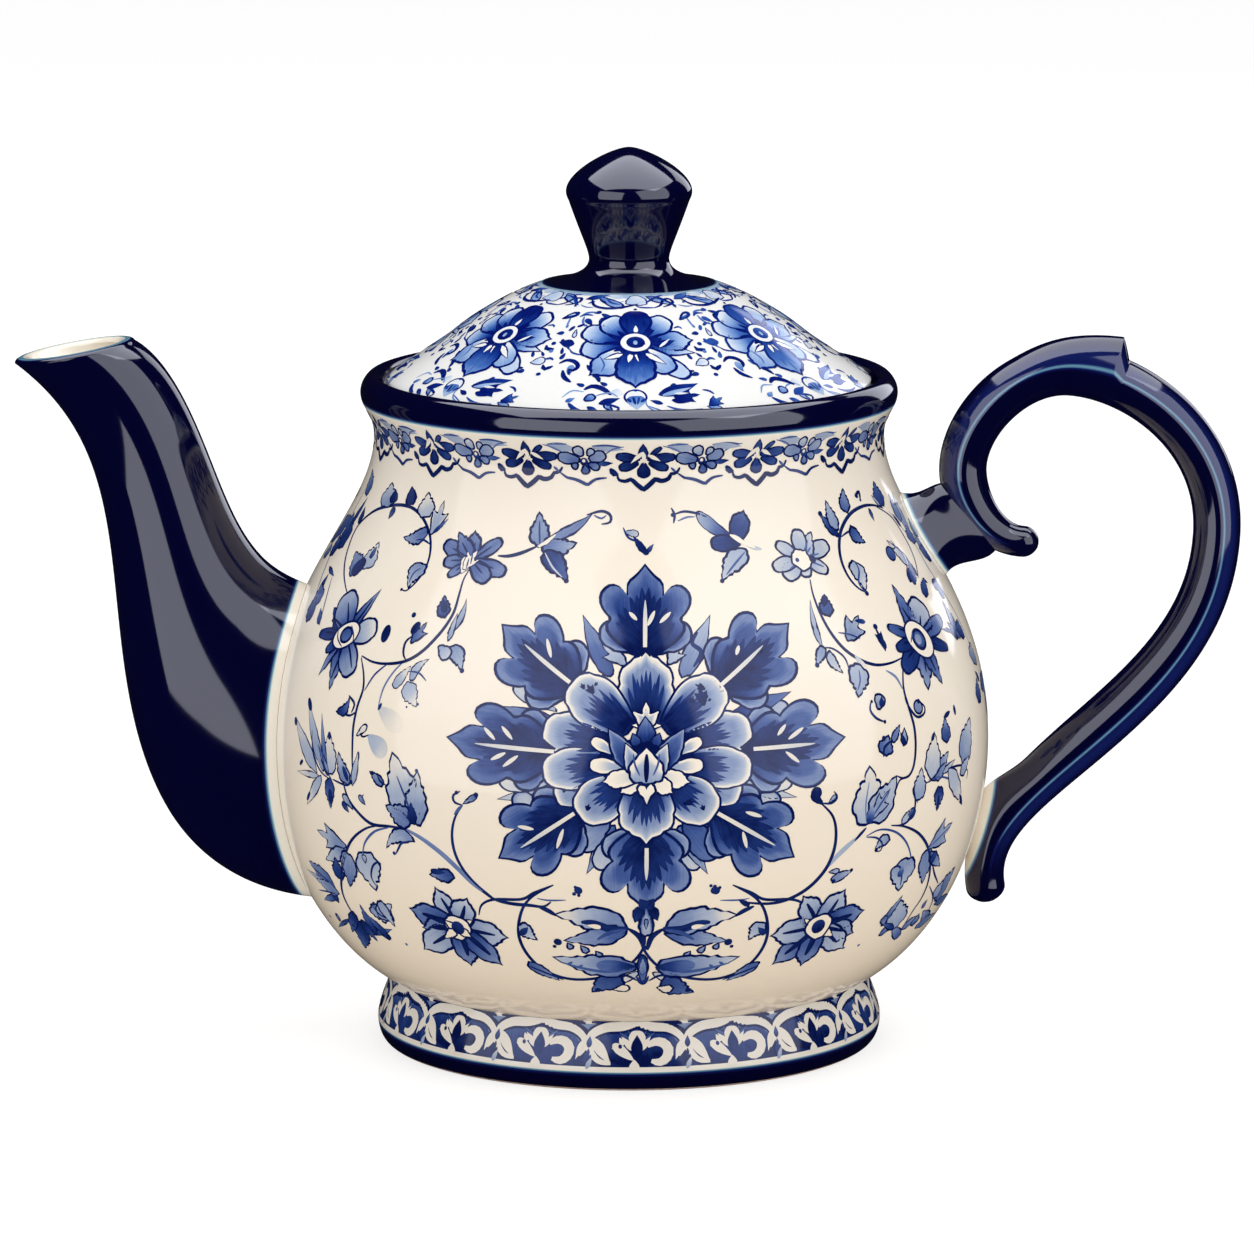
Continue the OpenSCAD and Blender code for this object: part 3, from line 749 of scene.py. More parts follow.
class Brush:
    """Collects strokes on a Ground, by layer, and makes each layer one thin skin."""

    def __init__(self, ground, name, base):
        self.ground, self.name, self.base = ground, name, base
        self.layers, self.count = {}, 0

    def lay(self, layer, p, s, faces, ink, brush):
        self.layers.setdefault(layer, []).append((p, s, faces, ink, brush))
        self.count += 1

    def frame(self, foot, tip):
        """Length, and the map from mm across and along a stroke to p and s."""
        foot, tip = np.asarray(foot, float), np.asarray(tip, float)
        swell = self.ground.r0 / self.ground.radius((foot[1] + tip[1]) / 2)
        way = (tip - foot) / [swell, 1]
        size = np.hypot(*way)
        way /= size

        def place(x, y):
            return (foot[0] + (x * way[1] + y * way[0]) * swell,
                    foot[1] + y * way[1] - x * way[0])
        return size, place

    def leaf(self, layer, foot, tip, kind="lance", wide=0.5, ink=(0.9, 0.5), edge=None,
             rim=0.0, line=0.35, bend=0.0, hold=0.0, fade=0.95, dark=1.0, mid=0.42):
        """Filled outline from foot to tip.

        ink is the wash at foot and tip; edge, if given, is the wash near the outline,
        reached over the share `rim` of the way in; line is the drawn outline's width in mm
        and dark its ink; bend curves the leaf sideways; the foot's ink lasts up to `hold` and
        is gone at `fade`.
        """
        size, place = self.frame(foot, tip)
        half = np.array(LEAF[kind], float)
        half[:, 0] *= wide / 0.5
        other = half[::-1].copy()
        other[:, 0] *= -1
        keep = other[1:-1] if half[-1, 0] == 0 else other[:-1]
        knots = np.concatenate([half, keep]) * [size, size, 1]
        gap = float(np.clip(size / 14, 0.3, 1.1))
        edge_at = spline(knots, gap, shut=True)
        core = np.array([0, mid * size])
        if kind in WAVY and line > 0:
            turn = np.linspace(0, TAU, len(edge_at), endpoint=False)
            wave = 0.05 * np.sin(7 * turn + self.count) + 0.03 * np.sin(13 * turn + foot[0])
            edge_at = core + (edge_at - core) * (1 + wave[:, None] * np.sin(turn / 2)[:, None])
        reach = np.linalg.norm(edge_at - core, axis=1)
        inner = np.clip(1 - line / np.maximum(reach, 1e-3), 0.3, 1)
        rows = max(int(np.ceil(np.median(reach) / 1.3)), 4)
        v = np.linspace(0, 1, rows + 1)[1:, None] * inner[None]
        if line > 0:
            v = np.concatenate([v[:-1], inner[None] - 0.012, inner[None] + 0.012,
                                np.ones_like(inner)[None]])
        pts = core + (edge_at - core)[None] * v[..., None]
        x, y = pts[..., 0] / size, pts[..., 1] / size
        part = v / inner
        wash = ink[0] + (ink[1] - ink[0]) * soft(y, hold, fade)
        if edge is not None:
            near = soft(part, 1 - rim, 1 - rim * 0.3) * soft(y, 0.05, 0.45)
            wash = wash + (edge - wash) * near
        if line > 0:
            wash[-2:] = dark
        centre = ink[0] + (ink[1] - ink[0]) * soft(np.array(mid), hold, fade)
        x, y = np.r_[0, x.ravel()] * size, np.r_[mid, y.ravel()] * size
        x = x + bend * size * (4 * (y / size) * (1 - y / size))
        n, m = len(edge_at), len(v)
        j = np.arange(n)
        tris = np.stack([0 * j, 1 + j, 1 + (j + 1) % n], 1)
        quads = 1 + grid_faces(m, n)
        p, s = place(x, y)
        brush = np.stack([x, y + FRESH * self.count], 1) * MM
        self.lay(layer, p, s, [tris, quads], np.r_[centre, wash.ravel()], brush)

    def band(self, layer, p, s, ink):
        """Wash over p[0] to p[1] and s[0] to s[1], with its ink at the lower and upper edge."""
        cols, rows = (max(int(np.ptp(v) / 0.8), 2) for v in (p, s))
        u, v = np.meshgrid(np.linspace(*p, cols), np.linspace(*s, rows))
        wash = np.interp(v, s, ink)
        brush = np.stack([v.ravel(), u.ravel()], 1) * MM
        self.lay(layer, u.ravel(), v.ravel(), [grid_faces(rows, cols, wrap_cols=False)],
                 wash.ravel(), brush)

    def stem(self, layer, knots, width=(0.3, 0.9, 0.3), ink=(0.95, 0.95), shut=False):
        """Ribbon along a curve through (p, s) knots; width at start, middle and end.

        The width swells and falls like the root of a sine, as a loaded brush leaves it.
        """
        knots = np.asarray(knots, float)
        swell = self.ground.r0 / self.ground.radius(knots[:, 1].mean())
        flat = knots[:, :2] / [swell, 1]
        if knots.shape[1] > 2:
            flat = np.c_[flat, knots[:, 2]]
        gap = 0.55 if max(width) < 1 else 0.8
        mid = spline(flat, gap, shut)
        if shut:
            mid = np.concatenate([mid, mid[:1]])
        way = np.gradient(mid, axis=0)
        way /= np.maximum(np.linalg.norm(way, axis=1, keepdims=True), 1e-9)
        u = np.linspace(0, 1, len(mid))
        full = np.sin(np.pi * np.clip(u, 0, 1)) ** 0.7
        w = (np.where(u < 0.5, width[0], width[2]) * (1 - full) + width[1] * full) / 2
        side = np.stack([way[:, 1], -way[:, 0]], 1) * w[:, None]
        across = np.array([-1, 0, 1.0])
        pts = mid[:, None] + side[:, None] * across[None, :, None]
        run = np.r_[0, np.cumsum(np.linalg.norm(np.diff(mid, axis=0), axis=1))]
        wash = np.interp(u, [0, 1], ink)[:, None] + 0 * across
        brush = np.stack([w[:, None] * across, run[:, None] + 0 * across + FRESH * self.count],
                         -1).reshape(-1, 2) * MM
        self.lay(layer, pts[..., 0].ravel() * swell, pts[..., 1].ravel(),
                 [grid_faces(len(mid), 3, wrap_cols=False)], wash.ravel(), brush)

    def vein(self, layer, foot, tip, path, width, ink):
        """Ribbon drawn in a leaf's own unit coordinates, [across, along]."""
        size, place = self.frame(foot, tip)
        path = np.asarray(path, float) * size
        self.stem(layer, np.stack(place(path[:, 0], path[:, 1]), 1), width, ink)

    def table(self, leaves=(), stems=(), dots=(), shift=0.0, wash=1.0):
        """Draws rows of the tables below, whose places are in tenths of a mm.

        Widths, inks and shares there are in hundredths. Stems taper at both ends;
        shift moves the rows round the pot. wash thins the colour of their leaves, and their
        outlines by a third as much. A step of nothing in a stem makes a corner of its knot.
        """
        for (layer, kind, usual), rows in dict(leaves).items():
            for p, s, dp, ds, wide, dark, pale, *more in rows:
                line, bend, edge, rim = more + [usual, 0, None, 0][len(more):]
                tip = (p + dp) / 10 + shift, (s + ds) / 10
                self.leaf(layer, (p / 10 + shift, s / 10), tip, kind, wide / 100,
                          (dark * wash / 100, pale * wash / 100),
                          None if edge is None else edge / 100, rim / 100,
                          line * OUTLINE / 100, bend / 100, dark=0.65 + 0.35 * wash)
        for layer, width, ink, *flat in stems:
            q = np.cumsum(np.reshape(flat, (-1, 2)), axis=0) / 10 + [shift, 0]
            twice = np.r_[(np.diff(q, axis=0) == 0).all(1), False]
            knots = np.c_[q, twice][np.r_[True, ~twice[:-1]]]
            self.stem(layer, knots, np.array([0.35, 1, 0.35]) * width * STEM / 100,
                      (ink / 100, ink / 100))
        for layer, p, s, size, ink in dots:
            self.dot(layer, (p / 10 + shift, s / 10), size / 10, ink / 100)

    def dot(self, layer, at, size, ink=0.95):
        """Round touch of the brush."""
        at = np.asarray(at, float)
        self.leaf(layer, at - [0, size / 2], at + [0, size / 2], "dot", 0.5, (ink, ink),
                  line=0, mid=0.5)

    def finish(self, mat, turns=(0,)):
        """One mesh for each layer and each turn about the pot's axis."""
        for k, turn in enumerate(turns):
            for layer, strokes in sorted(self.layers.items()):
                start, faces, over = 0, [], []
                for i, (p, _, parts, _, _) in enumerate(strokes):
                    faces += [f + start for f in parts]
                    start += len(p)
                    over.append(0 * p + i % 7 * OVER)
                p, s, ink = (np.concatenate([x[c] for x in strokes]) for c in (0, 1, 3))
                brush = np.concatenate([x[4] for x in strokes])
                lift = self.base + LAYER * layer + np.concatenate(over)
                pts, out = self.ground.at(p, s, lift)
                turn_by = np.array([[np.cos(turn), -np.sin(turn), 0],
                                    [np.sin(turn), np.cos(turn), 0], [0, 0, 1]])
                pts, out = pts @ turn_by.T, out @ turn_by.T
                by_size = {n: np.concatenate([f for f in faces if f.shape[1] == n])
                           for n in {f.shape[1] for f in faces}}
                faces = []
                for f in by_size.values():
                    a, b, c = pts[f[:, 0]], pts[f[:, 1]], pts[f[:, 2]]
                    lean = (np.cross(b - a, c - b) * out[f[:, 0]]).sum(1)
                    faces.append(np.where((lean < 0)[:, None], f[:, ::-1], f))
                flat = np.stack([p, s], 1)
                flat = (flat - flat.min(0)) / np.ptp(flat, axis=0)
                ob = mesh_piece(f"{self.name}_{'ab'[k]}{layer}", pts, faces,
                                self.ground.body, maps={"brush": brush, "OFBake": flat},
                                inks=ink, normals=out)
                ob.data.materials.append(mat)


# ---- painted ornament: places are [p, s] in mm on the ground they belong to ------------
#
# In the tables of rows places are in tenths of a mm and all else in hundredths. Leaves
# are sorted by layer, outline and usual line width; a row is foot, step to the tip, half
# width over length, ink at foot and tip, then where needed its own line width, bend, ink at
# the edge and the edge's share. A stem's row is layer, width, ink, its first knot and the
# steps to the next ones; a dot's is layer, place, size (tenths of a mm) and ink.


def rays(root, *rest):
    """Rows that share their first numbers, such as the petals about one centre."""
    return [root + row for row in rest]


# Oak leaves round the medallion: foot, tip, half width, ink at foot and tip
OAK_LEAVES = [
    (34, 282, 38, 468, 47, 100, 62), (-101, 217, -281, 339, 38, 97, 57),
    (172, 218, 358, 336, 39, 93, 57), (-135, 99, -365, 115, 34, 97, 68),
    (208, 98, 442, 107, 36, 80, 56), (-91, -5, -255, -110, 39, 100, 60),
    (156, -7, 328, -114, 39, 90, 60), (32, -32, 32, -211, 48, 70, 55),
]
WHITE_RIBS = [
    (33, 302, 36, 395), (-110, 227, -221, 302), (182, 224, 285, 296), (-143, 102, -302, 108),
    (240, 102, 370, 102), (-103, -13, -208, -85), (167, -15, 284, -86), (33, -79, 33, -144),
]
WHITE_DASHES = [
    (-285, 139, -261, 118), (-249, 144, -226, 121), (-267, 80, -238, 95), (-242, 69, -213, 91),
    (291, 124, 310, 143), (313, 115, 347, 134), (306, 92, 333, 70), (-174, 315, -161, 279),
    (232, 299, 223, 281), (0, 371, 17, 355), (56, 373, 40, 344), (91, 370, 66, 349),
    (-124, -44, -137, -82), (217, -54, 226, -86), (-212, -43, -181, -47), (222, -16, 254, -27),
]
PEONY_PETALS = [
    (3, "point", 32, 150, 35, 304, 36), (3, "petal", -28, 120, -168, 144, 32),
    (3, "petal", 94, 119, 241, 142, 31), (3, "petal", -23, 60, -141, 14, 29),
    (3, "petal", 98, 59, 214, 16, 30), (4, "petal", 5, 145, -117, 234, 34),
    (4, "petal", 66, 144, 188, 231, 34), (4, "petal", -23, 85, -166, 62, 29),
    (4, "petal", 88, 84, 237, 63, 28), (5, "petal", 5, 55, -97, -18, 37),
    (5, "petal", 60, 54, 164, -20, 37), (6, "point", 33, 50, 32, -75, 45),
]
MEDALLION_LEAVES = {
    (0, "drop", 33): [
        (-139, 178, -96, 43, 16, 17, 11), (232, 143, 89, 39, 20, 30, 17),
        (-139, 47, -113, -6, 20, 17, 8), (206, 49, 114, -16, 19, 17, 8),
        (-33, -21, -71, -59, 33, 49, 20, 35), (-33, -47, -26, -78, 25, 30, 11),
        (98, -23, 71, -81, 29, 69, 49, 35), (88, -48, 43, -79, 21, 24, 11),
        (-154, -4, -71, 14, 29, 17, 11, 33, 0, 30, 30),
        (206, -7, 89, 12, 23, 17, 11, 33, 0, 30, 30)],
    (0, "lance", 33): [
        (-35, 241, -67, 125, 14, 69, 40), (104, 239, 75, 124, 15, 43, 17),
        (-132, 148, -124, 34, 15, 69, 43), (196, 165, 136, 39, 13, 82, 49),
        (-134, 32, -120, -26, 12, 24, 11), (201, 34, 127, -30, 11, 24, 11),
        (-25, -32, -57, -101, 15, 56, 30), (90, -33, 62, -103, 14, 49, 27)],
    (0, "maple", 33): [(-3, 266, -56, 44, 31, 24, 11), (79, 266, 30, 43, 39, 17, 11)],
    (7, "dot", 0): [(32, 35, 1, 95, 100, 100, 100)],
    (7, "maple", 0): [
        (147, 187, -8, 39, 33, 100, 95), (152, 218, -21, 11, 32, 100, 95),
        (128, 193, -10, 11, 41, 100, 95), (156, 202, -8, 8, 41, 100, 95),
        (-69, 212, -15, 18, 39, 100, 95), (-88, 220, -8, 12, 38, 100, 95),
        (-69, 227, 7, 8, 37, 100, 95), (-79, -8, 4, 14, 45, 100, 95),
        (-124, 25, 4, 10, 41, 100, 95), (141, -9, -5, 12, 44, 100, 95),
        (100, 5, 26, 5, 26, 100, 95), (3, -6, 3, 10, 47, 100, 95), (155, 195, 7, 7, 33, 100, 95)],
    (8, "petal", 30): [
        (73, 74, 70, 4, 24, 25, 0, 30, 0, 0, 50), (88, 99, 53, 27, 25, 30, 0, 30, 0, 0, 50),
        (-8, 75, -69, 5, 25, 25, 0, 30, 0, 0, 50), (-23, 100, -51, 28, 24, 30, 0, 30, 0, 0, 50)],
    (8, "point", 30): [
        (47, 60, 71, -15, 28, 10, 0, 30, 0, 0, 50), (42, 55, 42, -31, 35, 5, 0, 30, 0, 0, 50),
        (17, 60, -70, -13, 28, 10, 0, 30, 0, 0, 50), (22, 55, -41, -30, 36, 5, 0, 30, 0, 0, 50)],
    (9, "bud", 35): [
        (58, 75, 50, 74, 27, 90, 45, 35, 0, 25, 30), (7, 75, -48, 75, 26, 90, 45, 35, 0, 25, 30)],
    (9, "maple", 30): [
        (18, 140, 44, 40, 38, 10, 0, 30, 0, 0, 40), (48, 140, -43, 40, 37, 10, 0, 30, 0, 0, 40),
        (33, 135, 0, 66, 42, 30, 0, 30, 0, 0, 40)],
    (10, "bud", 30): [
        (45, 55, 29, 67, 28, 75, 15, 30, 0, 5, 40), (20, 55, -28, 68, 27, 75, 15, 30, 0, 5, 40),
        (33, 120, -2, 52, 36, 90, 40, 25), (48, 115, 11, 25, 41, 80, 60, 20),
        (16, 115, -10, 25, 41, 80, 60, 20)],
    (11, "bud", 35): [(32, 42, 1, 74, 48, 30, 0, 35, 0, 0, 45)],
    (11, "heart", 35): [(32, 46, 1, -45, 43, 0, 5)],
}
MEDALLION_STEMS = [
    (0, 70, 90, 146, 329, -14, -21, 18, -18, -19, -28), (0, 60, 85, -64, 287, 15, -26, -7, -26),
    (0, 80, 90, -197, 168, 12, -17), (0, 80, 80, -170, 56, -13, -13), (12, 80, 100, 32, 47, 1, 53),
    (12, 30, 70, 20, 60, -9, 20, -3, 20), (12, 30, 70, 45, 60, 9, 20, 3, 20),
]
MEDALLION_DOTS = [
    (1, -99, -166, 15, 90), (1, 167, -169, 16, 90), (1, -107, -174, 8, 90), (1, 159, -159, 7, 90),
]

# Brush marks up an oak leaf from its rib: across, start and end, in shares of its length
OAK_STREAKS = [(0.04, 0.3, 0.74), (0.1, 0.22, 0.66), (0.17, 0.2, 0.64), (0.24, 0.14, 0.53),
               (0.3, 0.12, 0.46), (0.31, 0.08, 0.36), (0.26, 0.05, 0.26)]
NECK_MIDDLE = 3.8  # mm from the front to the middle of the neck's first dark blossom

# Sprays left of the medallion
LEFT_LEAVES = {
    (0, "drop", 0): [(-538, 152, 68, -35, 26, 10, 2), (-556, 96, 53, -30, 33, 20, 8)],
    (1, "bud", 20): [
        (-658, 546, -19, 38, 43, 95, 80, 30), (-726, 536, -8, -26, 34, 90, 60),
        (-627, -43, 20, -19, 26, 90, 60)],
    (1, "dot", 0): [(-569, 274, 2, 36, 31, 95, 95), (-580, 40, 2, 22, 20, 95, 90)],
    (1, "drop", 30): [
        (-419, 286, 35, -23, 40, 30, 10, 32), (-589, 89, 29, 26, 21, 10, 5),
        (-593, -54, -32, 27, 21, 40, 20), (-557, -39, -19, 17, 27, 60, 40, 20),
        (-324, -9, 31, 20, 19, 30, 50), (-12, 531, 37, -6, 28, 25, 10, 15)],
    (1, "lance", 22): [
        (-952, 464, 35, 71, 14, 95, 70), (-889, 480, -13, 37, 31, 95, 70),
        (-933, 380, 67, -11, 10, 90, 65), (-916, 329, 8, 40, 27, 90, 65),
        (-910, 285, -19, 24, 59, 95, 70), (-827, 273, -27, 31, 26, 80, 55),
        (-1083, 512, 29, 27, 18, 50, 25), (-1026, 383, -17, 34, 67, 60, 35),
        (-404, 308, 24, 75, 12, 35, 15, 35, 12), (-397, 294, 5, 59, 13, 30, 10, 30),
        (-685, 5, -87, 131, 10, 30, 10, 26), (-713, 0, -105, 90, 14, 20, 8, 26),
        (-703, -6, -95, -6, 8, 15, 5, 26), (-693, -3, -69, -70, 13, 20, 5, 26),
        (-673, 0, -36, 116, 7, 60, 40, 26), (-667, 3, -45, 54, 11, 30, 60, 26),
        (-593, -7, 15, 69, 14, 25, 10, 25), (-725, -257, -90, -26, 10, 65, 40, 25),
        (-731, -273, -13, 38, 34, 85, 60, 25), (-731, -236, -122, 14, 7, 35, 10, 25),
        (-633, -327, 77, 26, 11, 80, 50, 30), (-712, -307, -114, -44, 5, 80, 50, 30)],
    (1, "maple", 35): [
        (-544, 496, 11, 73, 31, 25, 12, 32, 0, 5, 30), (-491, 281, 28, 47, 35, 60, 40),
        (-629, -135, -104, 18, 26, 40, 12)],
    (1, "saw", 22): [
        (-774, 529, -9, 52, 60, 35, 10, 25), (-583, 528, -16, 52, 47, 15, 5, 28, -5),
        (-556, 509, -84, -25, 26, 55, 30, 35, -15), (-524, 440, -27, -55, 37, 35, 15, 32, 20),
        (-754, 391, -65, 40, 37, 60, 30, 28), (-746, 404, 18, 60, 41, 20, 5, 25, 10),
        (-922, 421, -60, 74, 35, 90, 65), (-1014, 432, -45, 44, 94, 70, 45),
        (-887, 302, -35, 44, 48, 70, 45), (-899, 266, -14, 53, 40, 85, 60),
        (-929, 537, -47, 49, 35, 60, 35), (-959, 401, -38, 41, 46, 90, 65),
        (-425, 338, -15, 47, 34, 80, 55, 35), (-391, 287, 40, -47, 31, 35, 15, 35, -12),
        (-509, 192, 35, 48, 20, 20, 5, 18), (-467, 209, 35, 48, 19, 25, 10, 25, -15),
        (-478, 206, 37, -43, 35, 20, 5, 18), (-659, 125, 34, 37, 25, 90, 50, 30, 25),
        (-436, -57, -53, 131, 31, 28, 5, 38), (-430, -63, 5, 109, 26, 40, 8, 38),
        (-506, 6, -40, 23, 26, 50, 35, 32), (-667, 1, -6, 85, 32, 15, 5, 26),
        (-667, -2, 0, -62, 28, 75, 45, 26), (-602, -6, -37, 59, 26, 45, 15, 32, -8),
        (-636, -143, -86, -34, 19, 35, 10, 33), (-682, -213, 2, 51, 42, 85, 70, 35),
        (-632, -142, -21, -81, 32, 30, 50, 36, -5), (-571, -132, 6, -85, 44, 18, 10, 36, 5),
        (-436, -89, -75, -30, 21, 35, 15, 36, 20), (-718, -237, -95, 41, 24, 60, 35, 25),
        (-711, -247, -96, 13, 18, 45, 20, 25), (-588, -246, 17, -46, 65, 35, 15, 36, -10),
        (-673, -284, -69, -61, 18, 90, 60, 30), (-665, -298, 28, -49, 32, 95, 65, 30),
        (-665, -305, -66, -80, 25, 90, 60, 30), (-352, -155, -60, -3, 28, 75, 40, 36),
        (-224, 496, -13, 70, 31, 40, 30, 40), (-220, 497, 92, 11, 35, 50, 25, 40, 8)],
    (2, "bud", 0): [
        (-745, 542, -6, 28, 54, 95, 90, 10), (-734, 427, 7, 28, 26, 80, 50, 15),
        (-425, 350, -17, 29, 24, 98, 90), (-406, -150, 35, 0, 18, 98, 80)],
    (2, "dot", 0): [
        (-752, 393, -26, 24, 73, 95, 95), (-497, 300, 15, 25, 31, 98, 90),
        (-537, 146, 7, 15, 21, 90, 90), (-752, 113, -19, 22, 25, 90, 90),
        (-810, 75, -11, 14, 38, 90, 90), (-670, 70, -5, 15, 37, 90, 90),
        (-664, -55, -2, 31, 25, 90, 90), (-785, 3, 15, 11, 22, 90, 90),
        (-759, -63, 17, 20, 16, 90, 90), (-606, 0, -17, 27, 19, 95, 80)],
    (2, "drop", 20): [(-578, -160, -1, 20, 39, 30, 20)],
    (2, "lance", 38): [(-202, 513, 110, 54, 12, 40, 45, 38, 6), (41, 487, 20, 20, 18, 90, 60, 10)],
    (2, "saw", 10): [
        (-540, 501, 38, 34, 11, 90, 50), (-438, -58, -66, 27, 35, 50, 30, 35),
        (-436, -62, -4, 45, 26, 98, 85), (-568, -235, 25, -59, 25, 30, 15, 34),
        (-212, 488, 70, -60, 27, 85, 60, 42, -6), (41, 487, -31, 36, 17, 98, 85)],
    (3, "drop", 15): [(-228, 494, 32, 19, 17, 0, 5)],
    (3, "lance", 40): [(-695, 273, 60, 103, 13, 85, 35), (-695, 273, -58, -92, 12, 70, 35)],
    (3, "petal", 42): [
        *rays((-695, 273),
              (-65, 79, 39, 75, 20, 40), (-112, -15, 13, 100, 80, 40), (-58, -43, 18, 95, 70, 40),
              (57, -75, 33, 70, 25, 40)),
        (-681, 267, 81, 37, 33, 35, 6, 40),
        *rays((-397, 458),
              (-94, 30, 23, 62, 44), (73, 48, 21, 62, 44), (-79, -9, 25, 62, 44),
              (-53, -37, 20, 62, 44), (102, -18, 22, 62, 44), (62, -38, 32, 62, 44))],
    (3, "point", 42): [(-397, 458, -12, 62, 31, 62, 44)],
    (3, "saw", 40): [
        (-695, 273, -94, 42, 28, 95, 75), (-695, 273, -3, -112, 21, 85, 40),
        (-397, 458, -61, 55, 28, 62, 44, 42)],
    (5, "dot", 35): [(-681, 247, -28, 50, 79, 0, 0)],
    (5, "drop", 10): [(-413, 431, 11, 38, 37, 0, 0)],
    (5, "maple", 15): [(-412, 438, 27, 43, 37, 2, 2)],
    (6, "dot", 40): [(-687, 256, -13, 33, 59, 55, 70)],
}
LEFT_STEMS = [
    (0, 55, 95, -761, 350, -59, 33, -46, 39, -22, 51, 55, 41, 92, 24, 77, 6, 60, -12, 48, -27, 26,
     -31, 9, -33, -9, -33, -23, -26, -18, 1), (1, 35, 85, -533, 479, -30, 7, -24, -3),
    (2, 35, 60, -535, 430, -17, -12, -3, -21), (1, 30, 80, -797, 393, 32, 3, 19, 22),
    (0, 30, 70, -904, 269, -14, 42, -41, 57, -33, 60, -1, 66, 19, 72),
    (0, 30, 80, -822, 272, -26, 51, -28, 44),
    *rays((4, 45, 100, -695, 273),
          (-15, 30, -25, 30), (27, 40, 18, 39), (-27, 12, -38, 10), (-36, -3, -49, -5),
          (-15, -23, -23, -24), (-15, -38, -25, -38), (3, -45, -9, -45), (33, -29, 22, -30)),
    (6, 30, 80, -695, 248, -25, 13, -10, 17), (6, 30, 80, -662, 260, -5, 15, -20, 18),
    (0, 55, 95, -620, 241, 40, -7, 43, 2, 46, 11, 35, 22, 28, 32, 17, 28, 9, 27, 0, 36, 0, 27, 7,
     20), (0, 35, 75, -537, 236, -29, -25, -19, -34),
    (0, 45, 95, -492, 249, -11, 12, -2, 22, 16, 15),
    (0, 35, 45, -492, 249, -23, -25, -18, -34, -5, -38), (1, 30, 80, -479, 228, 28, 0, 22, -13),
    (0, 50, 95, -620, 238, 20, -28, 10, -30, -7, -36, -3, -38, 3, -37, 4, -53),
    (1, 40, 95, -595, 137, -21, -12, -25, 5, 2, 16), (1, 45, 95, -629, 162, 22, -13, -5, -18),
    (1, 35, 95, -566, 117, -13, -13, 8, -13, 18, 6), (2, 35, 75, -434, -54, -18, 42, -22, 41),
    (2, 35, 90, -444, -55, -19, 17, -22, 4), (1, 40, 90, -500, 7, -17, 7, -6, 10),
    (2, 35, 90, -668, -5, -35, 13, -27, 34, -8, 36), (2, 35, 80, -662, -3, -23, 21, -8, 30),
    (1, 35, 90, -656, -4, 42, -5, 15, 5),
    (0, 55, 95, -626, 8, 17, -39, 28, -25, 37, -18, 48, 2, 37, 1),
    (0, 80, 42, -463, -70, 42, -15, 42, -24, 36, -29, 29, -28, 35, -25),
    (1, 60, 95, -295, -181, 26, -15, 34, -6, 37, -1, 28, -1, 16, 11),
    (1, 55, 95, -526, -75, -36, -11, -44, -28, -36, -40, -33, -50, -18, -39, 4, -36, 17, -28, 27,
     -35), (1, 30, 90, -557, -39, -10, 12, 6, 8),
    (1, 40, 60, -499, -75, -38, -13, -30, -25, -15, -27),
    (2, 40, 90, -560, -205, -9, 19, 13, 26, 21, 10, -1, -13),
    (2, 40, 85, -450, -96, -19, -6, -10, -13, -8, -11), (2, 30, 85, -706, -249, -32, 22, -71, 21),
    (2, 30, 80, -721, -263, -14, 11, -82, -9), (2, 40, 80, -594, -247, 10, -20, 25, -11),
    (0, 50, 90, -324, -11, -17, -26, -8, -33, 3, -35, 14, -32, 25, -29, 32, -25),
    (1, 40, 90, -324, -11, -17, 4, -3, 13, 15, 9), (2, 50, 60, -342, -31, 8, 10, 10, 10),
    *rays((4, 35, 95, -395, 459),
          (-66, 20), (-42, 33), (-4, 36), (45, 31), (-58, -5), (-35, -23), (64, -12), (38, -24)),
    (6, 25, 80, -403, 442, -1, 20), (6, 25, 80, -395, 451, -2, 21),
    (1, 60, 95, -328, 473, 28, 1, 32, 8, 38, 15), (2, 30, 80, -223, 499, -7, 29, -3, 19),
    (3, 45, 95, -110, 562, 38, 8, 23, -7, 0, -14, -22, -4), (3, 30, 70, -91, 562, 19, -6, 13, 6),
    (3, 50, 2, -228, 497, 19, 9, 23, 16), (3, 30, 10, -207, 485, 23, -27, 27, -20),
    (1, 35, 80, -15, 539, 12, -19, 21, -8, 13, -4),
]
LEFT_DOTS = [
    (2, -570, 382, 7, 95), (1, -506, 337, 11, 95), (2, -350, 242, 10, 95), (2, -439, 169, 6, 80),
    (2, -465, 161, 5, 80), (2, -537, 26, 9, 95), (1, -427, 44, 8, 80), (2, -597, 0, 10, 95),
    (2, -491, -125, 8, 80), (2, -586, -247, 9, 90), (2, -296, 11, 10, 95), (2, -337, 12, 8, 95),
    (1, -98, -167, 15, 95), (1, -104, -160, 7, 95), (1, -98, -177, 7, 95), (6, -385, 461, 7, 90),
    (6, -413, 466, 6, 90), (3, -146, 431, 10, 95), (2, 41, 490, 12, 95),
]

